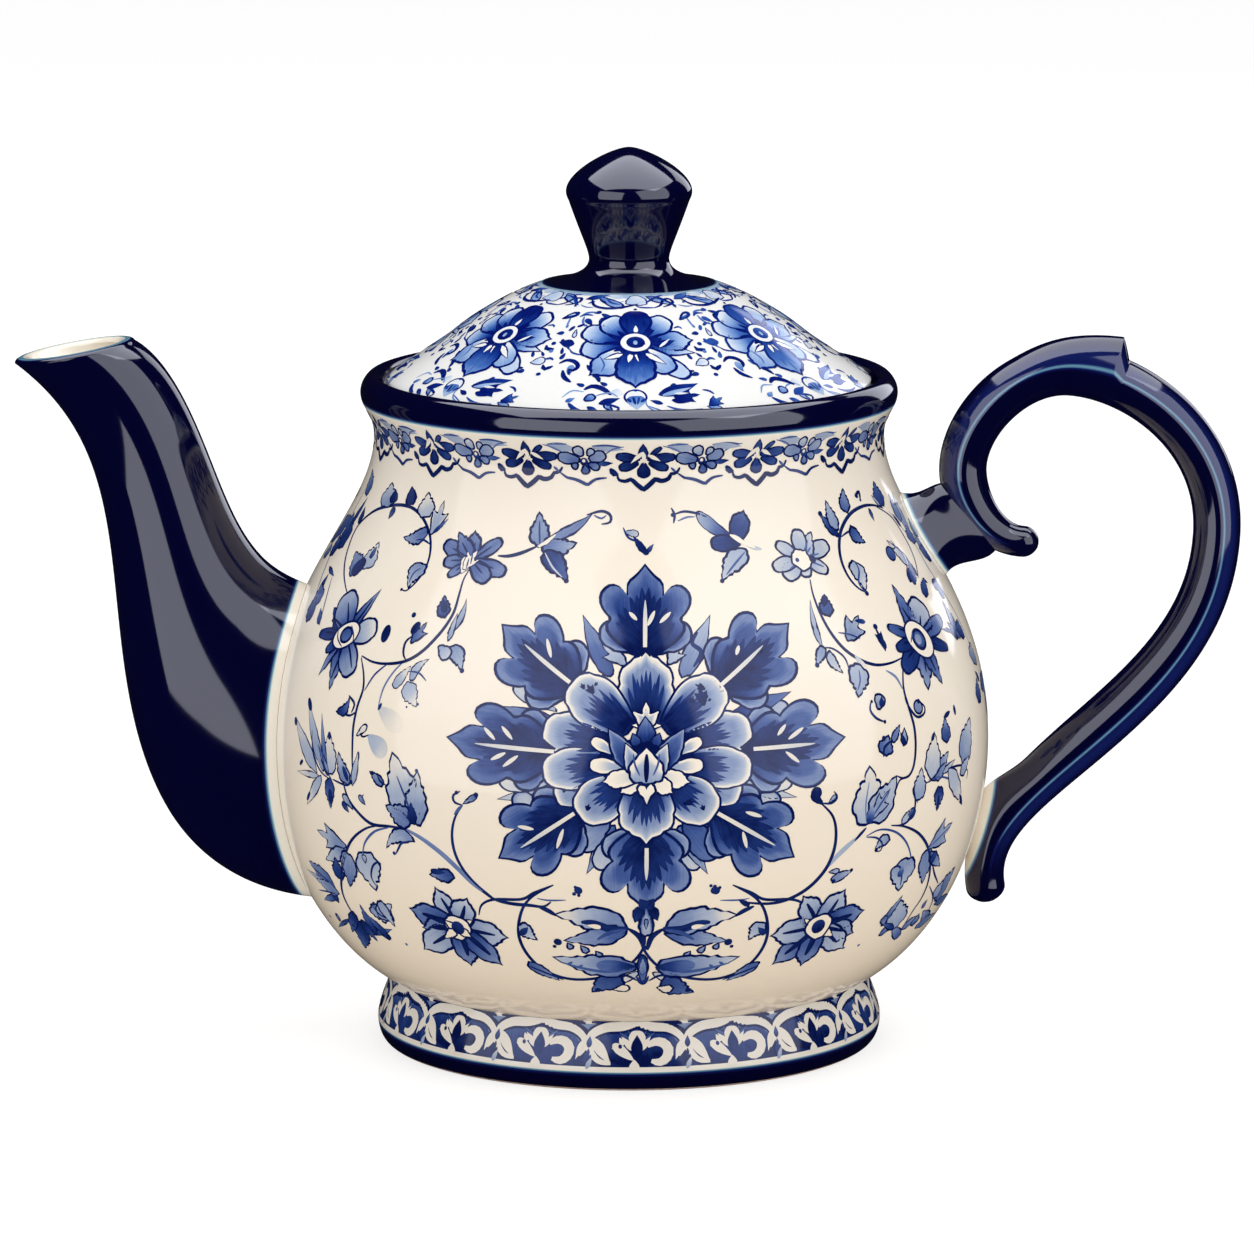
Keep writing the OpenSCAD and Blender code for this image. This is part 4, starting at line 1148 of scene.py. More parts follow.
# Sprays right of the medallion
RIGHT_LEAVES = {
    (0, "drop", 0): [(501, 258, 25, -44, 18, 12, 2)],
    (1, "bud", 0): [(596, 71, -12, 27, 21, 95, 90), (242, -207, -26, 16, 19, 98, 90, 10)],
    (1, "dot", 0): [
        (588, 280, 6, -22, 33, 95, 90), (641, 125, 18, 23, 54, 40, 30, 30),
        (606, -74, 20, 19, 40, 85, 50, 25)],
    (1, "drop", 20): [
        (279, 506, -104, 61, 14, 95, 20, 25, -6), (531, 146, 16, 31, 47, 35, 20, 34),
        (385, -16, -28, 23, 23, 95, 95), (396, -14, 18, 14, 22, 30, 20),
        (408, -153, 28, 0, 24, 30, 20, 26)],
    (1, "lance", 20): [
        (423, 279, 4, 98, 8, 25, 15, 38, -6), (751, 532, 0, -29, 22, 80, 50),
        (824, 372, -47, 12, 10, 95, 70), (780, 368, 23, 35, 21, 95, 70),
        (867, 355, -19, 14, 17, 90, 65), (897, 336, 29, 20, 43, 70, 45),
        (890, 473, -16, 33, 18, 100, 80, 24), (1083, 269, 0, 38, 0, 60, 40, 24),
        (1083, 226, 0, 55, 0, 50, 30, 24), (986, 131, -29, 25, 20, 90, 60, 22),
        (592, 69, 6, 37, 32, 40, 15, 34), (692, -13, -30, 22, 18, 70, 40, 30),
        (716, -3, 55, 19, 14, 25, 10, 30), (830, -294, 154, -13, 9, 60, 40, 25),
        (781, -340, 137, 5, 12, 50, 30, 24), (758, -292, 11, 20, 43, 60, 40)],
    (1, "maple", 34): [
        (491, 285, 56, 48, 41, 35, 20), (592, 254, -10, 54, 19, 98, 95, 20),
        (693, -148, 87, 38, 31, 35, 20)],
    (1, "saw", 30): [
        (296, 487, -79, -60, 26, 20, 10, 38, 8), (458, 338, 12, 46, 38, 70, 60, 36),
        (428, 284, -31, -39, 26, 30, 20, 34), (434, 273, 27, -47, 24, 15, 10, 34, 10),
        (498, 243, -13, -68, 39, 15, 25, 38, -8), (581, 491, -42, 52, 21, 90, 55, 34),
        (583, 502, -7, 64, 25, 30, 20, 34), (640, 533, 19, 49, 34, 60, 35, 34),
        (831, 524, 1, 54, 46, 85, 60, 32), (632, 505, 40, -37, 37, 75, 45, 36, 12),
        (587, 440, 9, -66, 33, 20, 10, 34, -12), (824, 397, -58, 66, 18, 20, 5),
        (831, 375, -13, 42, 19, 90, 65, 20), (792, 363, 36, 47, 24, 80, 55, 20),
        (814, 334, 48, 34, 26, 90, 65, 20), (920, 311, 12, 41, 32, 60, 35, 20),
        (913, 482, -1, 61, 30, 55, 35, 24), (924, 453, 31, 88, 19, 40, 20, 24),
        (915, 433, 18, 41, 51, 70, 50, 24), (962, 410, -2, 42, 37, 50, 30, 24),
        (981, 438, 12, 42, 47, 40, 20, 24), (952, 392, 30, 31, 68, 80, 60, 24),
        (944, 93, 14, 50, 46, 80, 50, 22), (973, 166, 22, 43, 64, 40, 10, 22),
        (990, 117, 93, 15, 20, 60, 30, 22), (1032, 64, 48, 30, 60, 40, 10, 22),
        (533, 60, 18, 38, 54, 60, 40, 36), (558, 81, 29, 32, 24, 50, 40),
        (487, -71, 8, 118, 37, 14, 6, 40, 4), (496, -64, 72, 82, 31, 30, 12, 38, 3),
        (676, -7, 17, 90, 32, 15, 5), (736, 53, 3, 50, 40, 75, 40), (802, 3, 59, 80, 35, 35, 10),
        (708, -25, -5, -50, 38, 85, 50), (686, -10, 57, 47, 27, 50, 20),
        (633, -43, 10, 65, 34, 30, 10), (795, -20, 47, 30, 27, 30, 10),
        (742, 2, 74, -84, 19, 15, 8), (587, -82, 31, 29, 25, 20, 10, 25),
        (624, -153, -2, -74, 54, 30, 15, 36, 8), (688, -147, 20, -80, 32, 40, 35, 36),
        (701, -160, 68, -40, 19, 60, 30, 34), (820, -286, 57, 64, 42, 55, 30, 32),
        (802, -278, 21, 39, 54, 30, 20), (664, -323, -22, 76, 45, 25, 15, 34),
        (705, -328, 53, 21, 27, 50, 30, 26), (558, -102, -40, -22, 31, 30, 15, 34, 12),
        (416, -172, 54, 16, 21, 40, 20)],
    (2, "bud", 0): [
        (543, 151, 4, 21, 34, 95, 80), (496, -66, 7, 36, 28, 85, 30),
        (609, -193, 5, 25, 37, 80, 30), (716, -183, 15, 25, 38, 85, 70, 20)],
    (2, "dot", 0): [(579, 300, 10, 8, 49, 95, 90), (739, 424, 33, 21, 46, 75, 60, 25)],
    (2, "drop", 0): [(456, 358, 16, 23, 30, 98, 90), (529, 323, 30, -6, 19, 95, 70)],
    (2, "lance", 25): [(820, 527, -31, 27, 18, 30, 10), (665, -319, -58, 22, 14, 85, 60, 20)],
    (2, "maple", 30): [(497, -61, 52, 56, 26, 35, 20)],
    (2, "petal", 36): [(283, 503, -80, 0, 30, 98, 75)],
    (2, "point", 36): [(272, 510, 36, 56, 35, 85, 62)],
    (3, "drop", 10): [(303, 497, -42, 22, 12, 0, 5)],
    (3, "lance", 26): [(907, 231, -53, 33, 9, 90, 60), (881, 249, -56, 16, 7, 70, 40)],
    (3, "petal", 36): [
        *rays((440, 461),
              (-64, 34, 25, 22, 10), (13, 58, 32, 22, 10), (97, 20, 24, 22, 10),
              (66, -35, 25, 22, 10), (-2, -42, 38, 22, 10), (-63, -39, 31, 22, 10),
              (-89, -15, 23, 22, 10)),
        *rays((715, 261),
              (68, 71, 43, 40, 12, 42), (136, 22, 15, 75, 40, 42), (113, -35, 13, 100, 85, 42),
              (-87, -52, 24, 95, 80, 42), (-90, -7, 17, 98, 85, 42), (-96, 39, 13, 90, 60, 42))],
    (3, "saw", 42): [
        (440, 461, 55, 49, 33, 22, 10, 36),
        *rays((715, 261),
              (-17, 117, 20, 70, 45), (40, -97, 24, 90, 45), (-20, -100, 32, 70, 30)),
        (918, 229, -15, 82, 21, 50, 20, 26), (907, 231, -32, 40, 28, 75, 45, 26),
        (930, 227, 22, 37, 61, 85, 55, 26)],
    (5, "dot", 30): [(692, 233, 49, 55, 69, 0, 0)],
    (5, "point", 30): [(419, 441, 41, 35, 52, 0, 0)],
    (6, "dot", 50): [(699, 244, 31, 33, 55, 70, 60), (703, 254, 17, 14, 51, 25, 35, 0)],
}
RIGHT_STEMS = [
    (1, 40, 90, 114, 562, 28, 6, 33, -4, 27, -8), (1, 40, 90, 110, 576, 8, -14, -4, -16),
    (1, 30, 50, 125, 550, 25, 7, 21, 0), (2, 35, 60, 289, 483, -30, -21, -28, -22),
    (3, 70, 0, 258, 519, 29, -16, 32, -13), (0, 70, 12, 294, 500, 21, -10, 21, -4),
    *rays((4, 35, 60, 442, 459),
          (35, 20), (53, 5), (32, 34), (54, -22), (-46, -19)),
    (0, 55, 95, 444, 416, -5, -30, 3, -37, 12, -40, 23, -36, 35, -26, 40, -15, 45, -2, 39, 5),
    (1, 35, 90, 427, 280, 23, -5, 23, -20, 4, -26), (2, 30, 60, 502, 229, -3, -21, -12, -18),
    (1, 35, 90, 477, 229, 7, -7, 10, 5), (2, 30, 80, 474, 305, 29, -7, 26, -11),
    (0, 60, 95, 830, 522, -50, 12, -58, 4, -64, -8, -53, -23, -32, -30, -15, -34, 2, -33, 16, -25,
     26, -15), (0, 35, 90, 789, 531, 67, -31, 19, -45, -9, -44, -36, -40),
    (1, 60, 95, 703, 560, 27, 7, -6, -16), (1, 35, 90, 587, 489, 41, 8, 28, -9),
    (2, 35, 70, 595, 373, -10, 21, 18, 25, -3, 18), (2, 30, 70, 773, 457, 34, -24, 0, -27),
    (2, 25, 80, 785, 459, 8, -15, -33, -4),
    (0, 30, 50, 857, 512, 33, -39, 30, -41, 3, -50, 21, -61, 28, -74, 20, -84),
    *rays((4, 50, 100, 715, 261),
          (-6, 33, -12, 35), (22, 21, 18, 21), (41, 8, 37, 8), (33, -11, 26, -10),
          (15, -34, 11, -34), (-4, -33, -8, -32), (-28, -15, -32, -14), (-28, 0, -32, 0),
          (-27, 15, -32, 15)),
    (6, 30, 60, 680, 258, 18, 19),
    (0, 55, 95, 633, 225, -17, -45, 4, -39, 8, -38, -1, -38, -9, -36, -16, -18, -26, -4, -12, -20),
    (0, 45, 40, 576, 218, 24, -16, 12, -25),
    (1, 45, 95, 618, 180, -2, -29, 23, -31, 26, 1, 6, 13, -16, 14),
    (1, 45, 90, 516, 165, -5, -16, 12, -16, 21, -10), (1, 50, 95, 533, 57, 4, 18, 21, 10),
    (2, 30, 40, 489, -66, -4, 38, 8, 43), (2, 35, 70, 500, -58, 23, 25, 26, 28),
    (1, 35, 95, 568, 16, 18, -7, 20, 4), (1, 55, 90, 490, -74, -16, -13, -11, -10),
    (0, 90, 18, 470, -90, -26, -17, -22, -17, -19, -20),
    (0, 65, 95, 381, -14, 25, -26, 10, -31, -1, -38, -15, -38, -32, -33, -41, -20, -45, -6, -56,
     8), (1, 40, 90, 381, -13, 22, -2, 13, 10, -8, 12), (2, 80, 95, 735, 102, 28, 8),
    (2, 80, 95, 785, 119, 1, -20), (2, 80, 95, 692, 80, -10, -14), (2, 80, 95, 816, -82, -18, 23),
    (2, 80, 95, 705, -71, 1, 28), (1, 40, 95, 646, -13, 40, 5, 56, 10, 60, -4, 32, -17, -4, -14),
    (1, 35, 70, 668, -7, 35, 0, 47, -14, 41, -30, 18, -26), (1, 35, 80, 622, -3, -3, -25, 14, -18),
    (2, 35, 90, 686, -7, 17, 16, 26, 8), (1, 45, 95, 573, -82, 26, 1, 18, 12, 8, 21, -7, 33),
    (1, 55, 95, 557, -79, 39, -8, 48, -21, 41, -32, 29, -39, 19, -46, -1, -35, -17, -31, -10, -37),
    (1, 38, 70, 492, -91, 36, 8, 45, -12, 37, -27, 25, -36, 3, -31),
    (2, 40, 85, 622, -214, -6, 25, -15, 20, -17, -1), (2, 30, 60, 690, -148, 35, 14, 47, 18),
    (1, 40, 90, 712, -168, 37, -42, 44, -32), (1, 35, 80, 747, -238, 55, -40, 14, -34, 13, -34),
    (1, 35, 80, 492, -93, 27, -5, 18, -14, -2, -14, -15, 0),
]
RIGHT_DOTS = [
    (1, 113, 562, 8, 95), (2, 218, 428, 9, 95), (6, 470, 455, 16, 95), (6, 425, 457, 9, 80),
    (2, 401, 248, 10, 95), (2, 543, 541, 11, 95), (1, 712, 561, 11, 95), (1, 724, 551, 7, 95),
    (2, 597, 371, 11, 95), (2, 654, 147, 10, 95), (1, 545, 123, 8, 95), (1, 518, 165, 7, 95),
    (2, 537, 92, 11, 95), (2, 369, 8, 24, 95), (2, 523, -123, 9, 95), (2, 424, -174, 10, 95),
    (2, 465, -156, 8, 95), (1, 170, -170, 16, 95), (1, 177, -164, 7, 95), (1, 167, -161, 8, 95),
]

# Star flowers, loops and pendant below it
LOWER_LEAVES = {
    (0, "bud", 30): [
        (-119, -300, -10, 17, 43, 40, 30), (-86, -308, -16, 20, 36, 40, 30),
        (-58, -318, -13, 17, 40, 40, 30), (179, -303, 10, 16, 44, 40, 30),
        (146, -310, 15, 19, 37, 40, 30), (118, -320, 12, 17, 42, 40, 30)],
    (0, "lance", 30): [(24, -354, -68, -46, 14, 12, 2), (49, -355, 72, -47, 13, 12, 2)],
    (1, "dot", 30): [(-771, -321, -17, 9, 64, 50, 40)],
    (1, "lance", 28): [
        (616, -329, 32, 27, 28, 60, 30), (604, -276, 10, -29, 42, 60, 30),
        (758, -334, 1, 32, 57, 60, 30)],
    (1, "saw", 28): [
        (-12, -373, -76, -45, 33, 75, 55, 36, 10), (-223, -243, 33, -39, 35, 25, 10, 34, 10),
        (-225, -339, 69, -46, 19, 60, 30, 34), (74, -374, 81, -47, 32, 75, 55, 36, 10),
        (284, -248, -32, -39, 38, 25, 10, 34, 10), (292, -345, -69, -46, 20, 60, 30, 34),
        (32, -193, -1, 42, 42, 50, 30, 30), (-577, -330, -46, 32, 24, 90, 55),
        (-543, -283, -17, 50, 22, 90, 55), (-627, -331, -12, 74, 19, 90, 55),
        (-581, -326, -51, 50, 18, 90, 55), (-586, -278, 57, 40, 30, 30, 12, 30),
        (606, -303, 37, 65, 18, 60, 30), (718, -353, -66, 41, 19, 60, 30),
        (855, -346, -81, 46, 22, 60, 30), (-2, -248, -150, 28, 22, 42, 4, 45, 5),
        (-4, -252, -133, -27, 19, 60, 22, 42, -3), (17, -342, -183, 22, 19, 50, 12, 42, -5),
        (70, -249, 152, 24, 22, 42, 4, 45, -5), (72, -253, 136, -31, 18, 60, 22, 42, 3),
        (55, -343, 187, 18, 19, 50, 12, 42, 5)],
    (2, "bud", 0): [(-225, -270, 18, 18, 28, 90, 80), (287, -276, -19, 19, 27, 90, 80)],
    (2, "drop", 0): [
        (-38, -408, 41, 9, 35, 5, 0, 30), (17, -342, -88, 4, 21, 95, 50),
        (55, -343, 89, 2, 21, 95, 50)],
    (2, "saw", 30): [(103, -410, -42, 10, 40, 5, 0)],
    (3, "bud", 0): [(-57, -246, -28, 5, 19, 0, 0), (126, -248, 28, 4, 19, 0, 0)],
    (3, "point", 42): [
        *rays((-367, -269),
              (-36, 88, 27, 35, 12), (37, 72, 37, 40, 10), (-116, 30, 28, 75, 45),
              (-95, -12, 29, 60, 40), (-117, -70, 25, 35, 12), (2, -97, 29, 70, 40),
              (84, -85, 25, 85, 35), (115, -12, 30, 40, 12)),
        *rays((412, -272),
              (-56, 77, 30, 40, 12), (48, 78, 35, 40, 12), (118, 21, 27, 85, 40),
              (110, -32, 28, 40, 30), (100, -70, 26, 30, 12), (-8, -100, 29, 70, 40),
              (-88, -85, 25, 80, 35), (-114, -9, 31, 35, 12))],
    (4, "bud", 0): [
        (23, -201, -12, -34, 34, 98, 90, 20), (44, -201, 13, -30, 32, 98, 90, 20),
        (34, -203, -14, 21, 42, 90, 90), (34, -203, 15, 21, 41, 90, 90),
        (31, -391, -17, 26, 16, 90, 80), (31, -391, 13, 26, 17, 90, 80)],
    (4, "lance", 36): [(28, -306, 3, -88, 14, 85, 50)],
    (4, "saw", 40): [
        (35, -269, -2, 74, 22, 15, 25, 40, 0, 70, 35), (30, -363, -1, 45, 17, 50, 30, 10)],
    (5, "bud", 30): [
        (-373, -274, -24, 20, 37, 0, 0), (-364, -273, 26, -16, 44, 0, 0),
        (-362, -266, 36, 20, 29, 0, 0), (416, -270, 30, 12, 39, 0, 0),
        (409, -275, -23, -18, 41, 0, 0), (34, -225, 0, -26, 19, 50, 30, 20)],
    (5, "petal", 35): [(-376, -300, 16, 59, 51, 0, 0), (423, -303, -19, 59, 52, 0, 0)],
    (5, "saw", 30): [
        (-373, -274, -37, -26, 28, 0, 0), (409, -275, -39, 27, 26, 0, 0),
        (418, -277, 43, -25, 29, 0, 0)],
    (6, "dot", 0): [(-371, -284, 8, 30, 46, 100, 85), (417, -287, -10, 31, 47, 100, 85)],
}
LOWER_STEMS = [
    (4, 70, 97, -367, -269, -11, 37, -14, 27), (4, 70, 97, -367, -269, 18, 30, 10, 23),
    (4, 110, 97, -367, -269, -42, 13, -40, 9), (4, 110, 97, -367, -269, -34, -4, -33, -4),
    (4, 70, 97, -367, -269, -40, -26, -40, -23), (4, 110, 97, -367, -269, 5, -36, -2, -32),
    (4, 110, 97, -367, -269, 36, -32, 25, -27), (4, 70, 97, -367, -269, 49, -4, 35, -4),
    (4, 70, 97, 412, -272, -22, 32, -20, 25), (4, 70, 97, 412, -272, 21, 32, 13, 25),
    (4, 110, 97, 412, -272, 48, 9, 35, 7), (4, 70, 97, 412, -272, 44, -12, 33, -10),
    (4, 70, 97, 412, -272, 38, -26, 30, -22), (4, 110, 97, 412, -272, -3, -38, -5, -31),
    (4, 110, 97, 412, -272, -34, -32, -30, -27), (4, 70, 97, 412, -272, -45, -3, -39, -3),
    (0, 60, 95, -147, -157, -49, -31, -24, -38, -10, -52, 15, -48, 34, -36, 53, -17, 67, 8, 54, 28,
     32, 39, 7, 35, -11, 34, -12, 24),
    (0, 50, 95, -147, -157, -39, -18, -28, -16, -57, -5, -29, -14, -11, -24),
    (0, 30, 60, -182, -187, 22, -3, 36, 2), (1, 50, 95, 18, -380, -25, 15, -29, -5),
    (2, 40, 90, -223, -348, 32, -14, 43, -20),
    (0, 60, 95, 203, -160, 51, -32, 27, -39, 12, -53, -13, -48, -33, -35, -54, -16, -69, 10, -57,
     29, -33, 40, -9, 35, 10, 34, 11, 24),
    (0, 50, 95, 203, -160, 40, -19, 30, -17, 60, -6, 31, -15, 13, -24),
    (0, 30, 60, 240, -191, -23, -2, -37, 2), (1, 50, 95, 44, -381, 24, 15, 31, -6),
    (2, 40, 90, 291, -355, -33, -13, -44, -19), (2, 130, 90, -1, -247, -37, -2, -35, 13, -23, 1),
    (2, 70, 70, -6, -251, -33, -7, -26, -16), (0, 80, 95, -145, -223, -17, 11, -20, 8),
    (0, 90, 95, 32, -299, -10, 31, -24, 20), (2, 60, 60, 13, -345, -60, -10, -54, 8, -43, 13),
    (2, 50, 60, -100, -338, -11, -8), (2, 50, 60, -122, -331, -12, -9),
    (2, 130, 90, 68, -248, 38, -3, 35, 12, 23, 1), (2, 70, 70, 73, -252, 34, -8, 27, -17),
    (0, 80, 95, 215, -228, 17, 11, 20, 8), (0, 90, 95, 38, -299, 8, 31, 24, 19),
    (2, 60, 60, 60, -346, 61, -11, 55, 6, 44, 11), (2, 50, 60, 175, -341, 11, -9),
    (2, 50, 60, 196, -335, 13, -10),
]
LOWER_DOTS = [
    (2, -148, -283, 16, 95), (2, -156, -294, 8, 95), (2, -72, -409, 13, 95),
    (2, 208, -287, 16, 95), (2, 217, -298, 8, 95), (2, 138, -412, 13, 95), (4, 33, -293, 11, 95),
    (1, -532, -334, 7, 60), (1, -713, -322, 10, 90), (1, -840, -327, 7, 70), (1, 558, -341, 7, 60),
    (1, 513, -339, 5, 50),
]

# A dark blossom of the neck border
NECK_LEAVES = {
    (1, "lance", 0): [(-135, 697, 86, -6, 12, 25, 18), (62, 699, 88, -11, 16, 25, 16)],
    (2, "bud", 25): [(-1, 670, -1, 36, 28, 85, 90)],
    (2, "petal", 30): [
        (-8, 670, -66, 7, 23, 100, 82), (-12, 662, -54, -11, 26, 100, 85),
        (9, 670, 77, 4, 21, 100, 82), (13, 662, 55, -12, 23, 100, 85),
        (15, 676, 32, 21, 20, 95, 80)],
    (3, "drop", 30): [(1, 664, 0, -32, 42, 90, 100)],
    (4, "lance", 0): [
        (1, 687, -35, -26, 12, 2, 2), (0, 685, 2, -25, 16, 2, 2), (11, 680, 35, -15, 14, 2, 2)],
}
NECK_STEMS = [
    (1, 35, 70, -135, 699, 39, 2, 38, -4), (1, 35, 60, 61, 700, 25, 2, 30, 0),
    (3, 95, 95, -89, 651, 10, -9, 12, -3),
    (3, 75, 97, -69, 639, 3, -9, 17, -3, 17, 4, 0, 0, 16, -11, 16, -9, 0, 0, 16, 9, 16, 11, 0, 0,
     17, -4, 18, 4, 7, 9, 0, 0, 15, 2, 9, 10), (1, 30, 50, -104, 678, 23, 14, 30, 6),
    (1, 30, 50, 50, 699, 32, -8, 34, -17),
]

# A pale one
PALE_LEAVES = {
    (2, "petal", 28): [
        (-10, 666, -63, 8, 31, 50, 34), (-16, 660, -18, -10, 53, 50, 40),
        (12, 667, 47, 15, 39, 42, 30), (9, 660, 34, -9, 36, 55, 40),
        (-4, 674, -18, 24, 44, 30, 12), (10, 675, 16, 19, 40, 30, 15)],
    (3, "dot", 0): [(-1, 655, 1, 17, 45, 95, 90)],
    (3, "drop", 30): [(1, 660, 4, -22, 44, 50, 62)],
    (3, "lance", 0): [(38, 659, 40, 3, 18, 70, 95)],
    (4, "dot", 0): [(-1, 662, 0, 7, 47, 2, 2)],
}
PALE_STEMS = [
    (3, 50, 85, -66, 641, 18, -9, 0, 0, 28, -4, 29, -9, 0, 0, 22, 11, 29, 3),
    (3, 40, 60, -84, 652, 14, -9),
]

# One arch of the foot border
FOOT_LEAVES = {
    (1, "dot", 0): [(15, 11, 1, 80, 98, 100, 78)],
    (1, "lance", 0): [(-42, 88, -41, -3, 15, 75, 50), (74, 88, 41, -6, 14, 75, 50)],
    (3, "lance", 0): [(-73, 66, 38, -52, 16, 2, 2), (106, 62, -16, -39, 16, 2, 2)],
    (4, "bud", 0): [(113, 12, 2, 33, 23, 100, 90)],
    (4, "lance", 20): [
        *rays((16, 53),
              (-38, 26, 13, 90, 60), (-20, 30, 16, 90, 60), (21, 29, 16, 90, 60),
              (38, 25, 13, 90, 60)),
        (115, 46, 2, 23, 24, 95, 70, 0)],
    (5, "bud", 0): [
        (-15, 44, -19, 2, 29, 2, 2), (-11, 52, -8, 15, 30, 2, 2), (10, 2, 0, 23, 43, 2, 2)],
    (5, "drop", 0): [(9, 23, -41, 31, 19, 2, 2)],
    (5, "lance", 0): [
        (10, 41, -25, 28, 18, 2, 2), (21, 41, 22, 28, 17, 2, 2), (-83, 5, 11, 24, 18, 30, 10),
        (126, 49, -9, -18, 18, 2, 2)],
    (5, "petal", 0): [(16, 46, 0, 34, 47, 2, 2)],
    (6, "bud", 0): [(15, 33, 1, 39, 29, 100, 100)],
    (6, "dot", 0): [(-17, 45, -1, 9, 41, 95, 90), (54, 31, 0, 17, 52, 100, 90)],
    (6, "lance", 0): [(15, 28, 1, 9, 62, 100, 100)],
}
ARCH = (-36, 17, -24, 5, -18, 23, 3, 25, 27, 15, 36, 4, 28, 9, 0, 0, 28, -10, 34, -4, 24, -15, 6,
        -19, -12, -19)
FOOT_STEMS = [
    (2, 220, 97, *ARCH), (3, 142, 2, *ARCH),
    (5, 155, 2, 36, 50, 14, 8, 17, -2, 10, -13, -5, -16, -14, -8, -15, 3),
    (2, 75, 97, -87, 63, 0, 0, 8, 16, 25, 14, 36, 4, 34, 1, 0, 0, 34, -1, 36, -6, 26, -14, 8, -15),
    (2, 80, 97, -75, 95, 26, 3, 31, 0, 0, 0),
    (2, 80, 97, 51, 98, 0, 0, 31, 0, 25, -6),
]

# One flower of the lid, with the touches beside it
LID_LEAVES = {
    (0, "lance", 0): [(-28, -98, 21, -7, 43, 12, 6), (8, -158, 37, 7, 9, 6, 3)],
    (1, "bud", 0): [
        (-97, 169, 33, 10, 30, 95, 90), (-77, 130, -21, -6, 35, 97, 95),
        (-131, 31, 11, -17, 19, 95, 80), (-107, -40, 6, -15, 18, 95, 90),
        (158, 75, -2, 14, 17, 60, 40)],
    (1, "dot", 0): [
        (-140, 66, 9, 16, 22, 90, 90), (-125, 79, 16, 10, 22, 95, 90),
        (-141, 32, -3, 11, 35, 95, 90), (196, 86, 11, -2, 37, 75, 60),
        (10, -91, -1, -44, 52, 6, 4, 30)],
    (1, "drop", 0): [
        (-133, 156, 20, 11, 22, 90, 60), (-13, 160, 67, 21, 52, 16, 10, 20),
        (189, 189, 105, -45, 16, 55, 30, 50), (-178, 100, 40, 25, 23, 20, 10, 70),
        (-104, -54, 0, 29, 26, 65, 35), (184, 73, 2, -26, 20, 22, 10, 25),
        (121, -27, 28, 12, 37, 14, 8, 20), (-91, 87, -20, 19, 28, 97, 85),
        (-94, 72, 20, -11, 31, 97, 85), (-62, 61, -4, -16, 24, 97, 85),
        (-125, 6, -6, -18, 25, 97, 85), (-77, -23, 13, -17, 24, 97, 85),
        (-70, -9, 17, -6, 27, 97, 85), (-47, -71, 12, -10, 30, 97, 85),
        (-85, -77, 14, -7, 30, 97, 85), (118, 59, 5, -17, 22, 97, 85),
        (141, 57, 18, 3, 36, 97, 85), (112, 7, 7, -18, 20, 97, 85), (172, 20, 3, -18, 21, 97, 85),
        (107, -56, 13, 8, 37, 97, 85), (65, -84, 10, 7, 32, 97, 85), (131, 6, 10, -12, 21, 97, 85),
        (-22, -153, -14, 21, 26, 60, 25, 35), (111, -143, 23, -10, 23, 50, 25, 25)],
    (1, "lance", 0): [
        (-149, 172, 76, 24, 20, 95, 60, 20), (-21, 183, -53, 11, 34, 14, 10),
        (62, 190, 88, -42, 19, 45, 15, 35), (-114, 30, -36, 4, 33, 97, 90),
        (232, 124, 45, -23, 15, 97, 60), (-44, -133, 31, 17, 21, 100, 92),
        (-93, -130, 13, 12, 29, 65, 40), (-60, -141, 19, -14, 20, 95, 75),
        (49, -133, -19, 11, 21, 97, 90), (44, -108, 68, 30, 17, 95, 90),
        (98, -156, 27, -2, 6, 80, 60), (24, -136, 34, -23, 3, 50, 70)],
    (1, "maple", 20): [(115, -141, 25, 20, 38, 95, 50)],
    (1, "petal", 30): [(-66, -125, 15, 16, 45, 60, 35)],
    (2, "bud", 0): [
        (140, 153, 0, -12, 25, 80, 60), (10, -110, 1, -37, 49, 55, 18),
        (10, -91, 0, -7, 110, 90, 80)],
    (2, "dot", 0): [(-33, -137, 8, 3, 28, 95, 90)],
    (2, "lance", 0): [
        (-172, 102, 29, 17, 10, 95, 80), (49, -110, 50, 21, 9, 30, 20),
        (62, -123, 27, -7, 21, 97, 95)],
    (2, "maple", 0): [(66, -115, 42, 5, 37, 100, 95)],
    (3, "lance", 42): [(37, 26, 95, -21, 20, 75, 8), (68, -105, 23, 0, 11, 10, 5, 0)],
    (3, "petal", 42): [
        (46, 10, 56, -71, 25, 5, 14), (-9, 17, -90, 5, 34, 100, 12),
        (-10, 45, -97, 26, 33, 100, 8), (1, 55, -61, 56, 41, 90, 6), (25, 54, 74, 56, 35, 85, 6)],
    (3, "point", 42): [(41, 41, 99, -1, 34, 80, 10)],
    (4, "petal", 42): [(31, 21, 45, -66, 36, 3, 32), (14, 55, 4, 78, 42, 85, 100)],
    (4, "point", 42): [(-9, 12, -60, -66, 37, 3, 42)],
    (5, "lance", 0): [(40, 35, 31, 14, 41, 100, 95), (50, 28, 48, 13, 22, 100, 90)],
    (5, "point", 50): [(13, 21, -3, -110, 38, 100, 42)],
    (6, "bud", 0): [(15, 66, 1, 21, 20, 2, 2)],
    (6, "lance", 0): [
        (61, 24, 27, 23, 9, 5, 5), (-9, 7, -40, -15, 20, 0, 2, 30),
        (30, 10, 39, -33, 17, 0, 5, 25)],
    (7, "bud", 15): [(4, 7, -6, -25, 27, 0, 0), (12, 7, 6, -23, 15, 0, 0)],
    (7, "dot", 30): [(12, 9, 2, 58, 56, 2, 2)],
    (8, "bud", 0): [(13, 43, 21, -11, 39, 100, 95)],
    (8, "dot", 0): [(13, 22, 1, 32, 56, 100, 95)],
    (9, "dot", 0): [(13, 31, 0, 12, 34, 20, 30)],
}
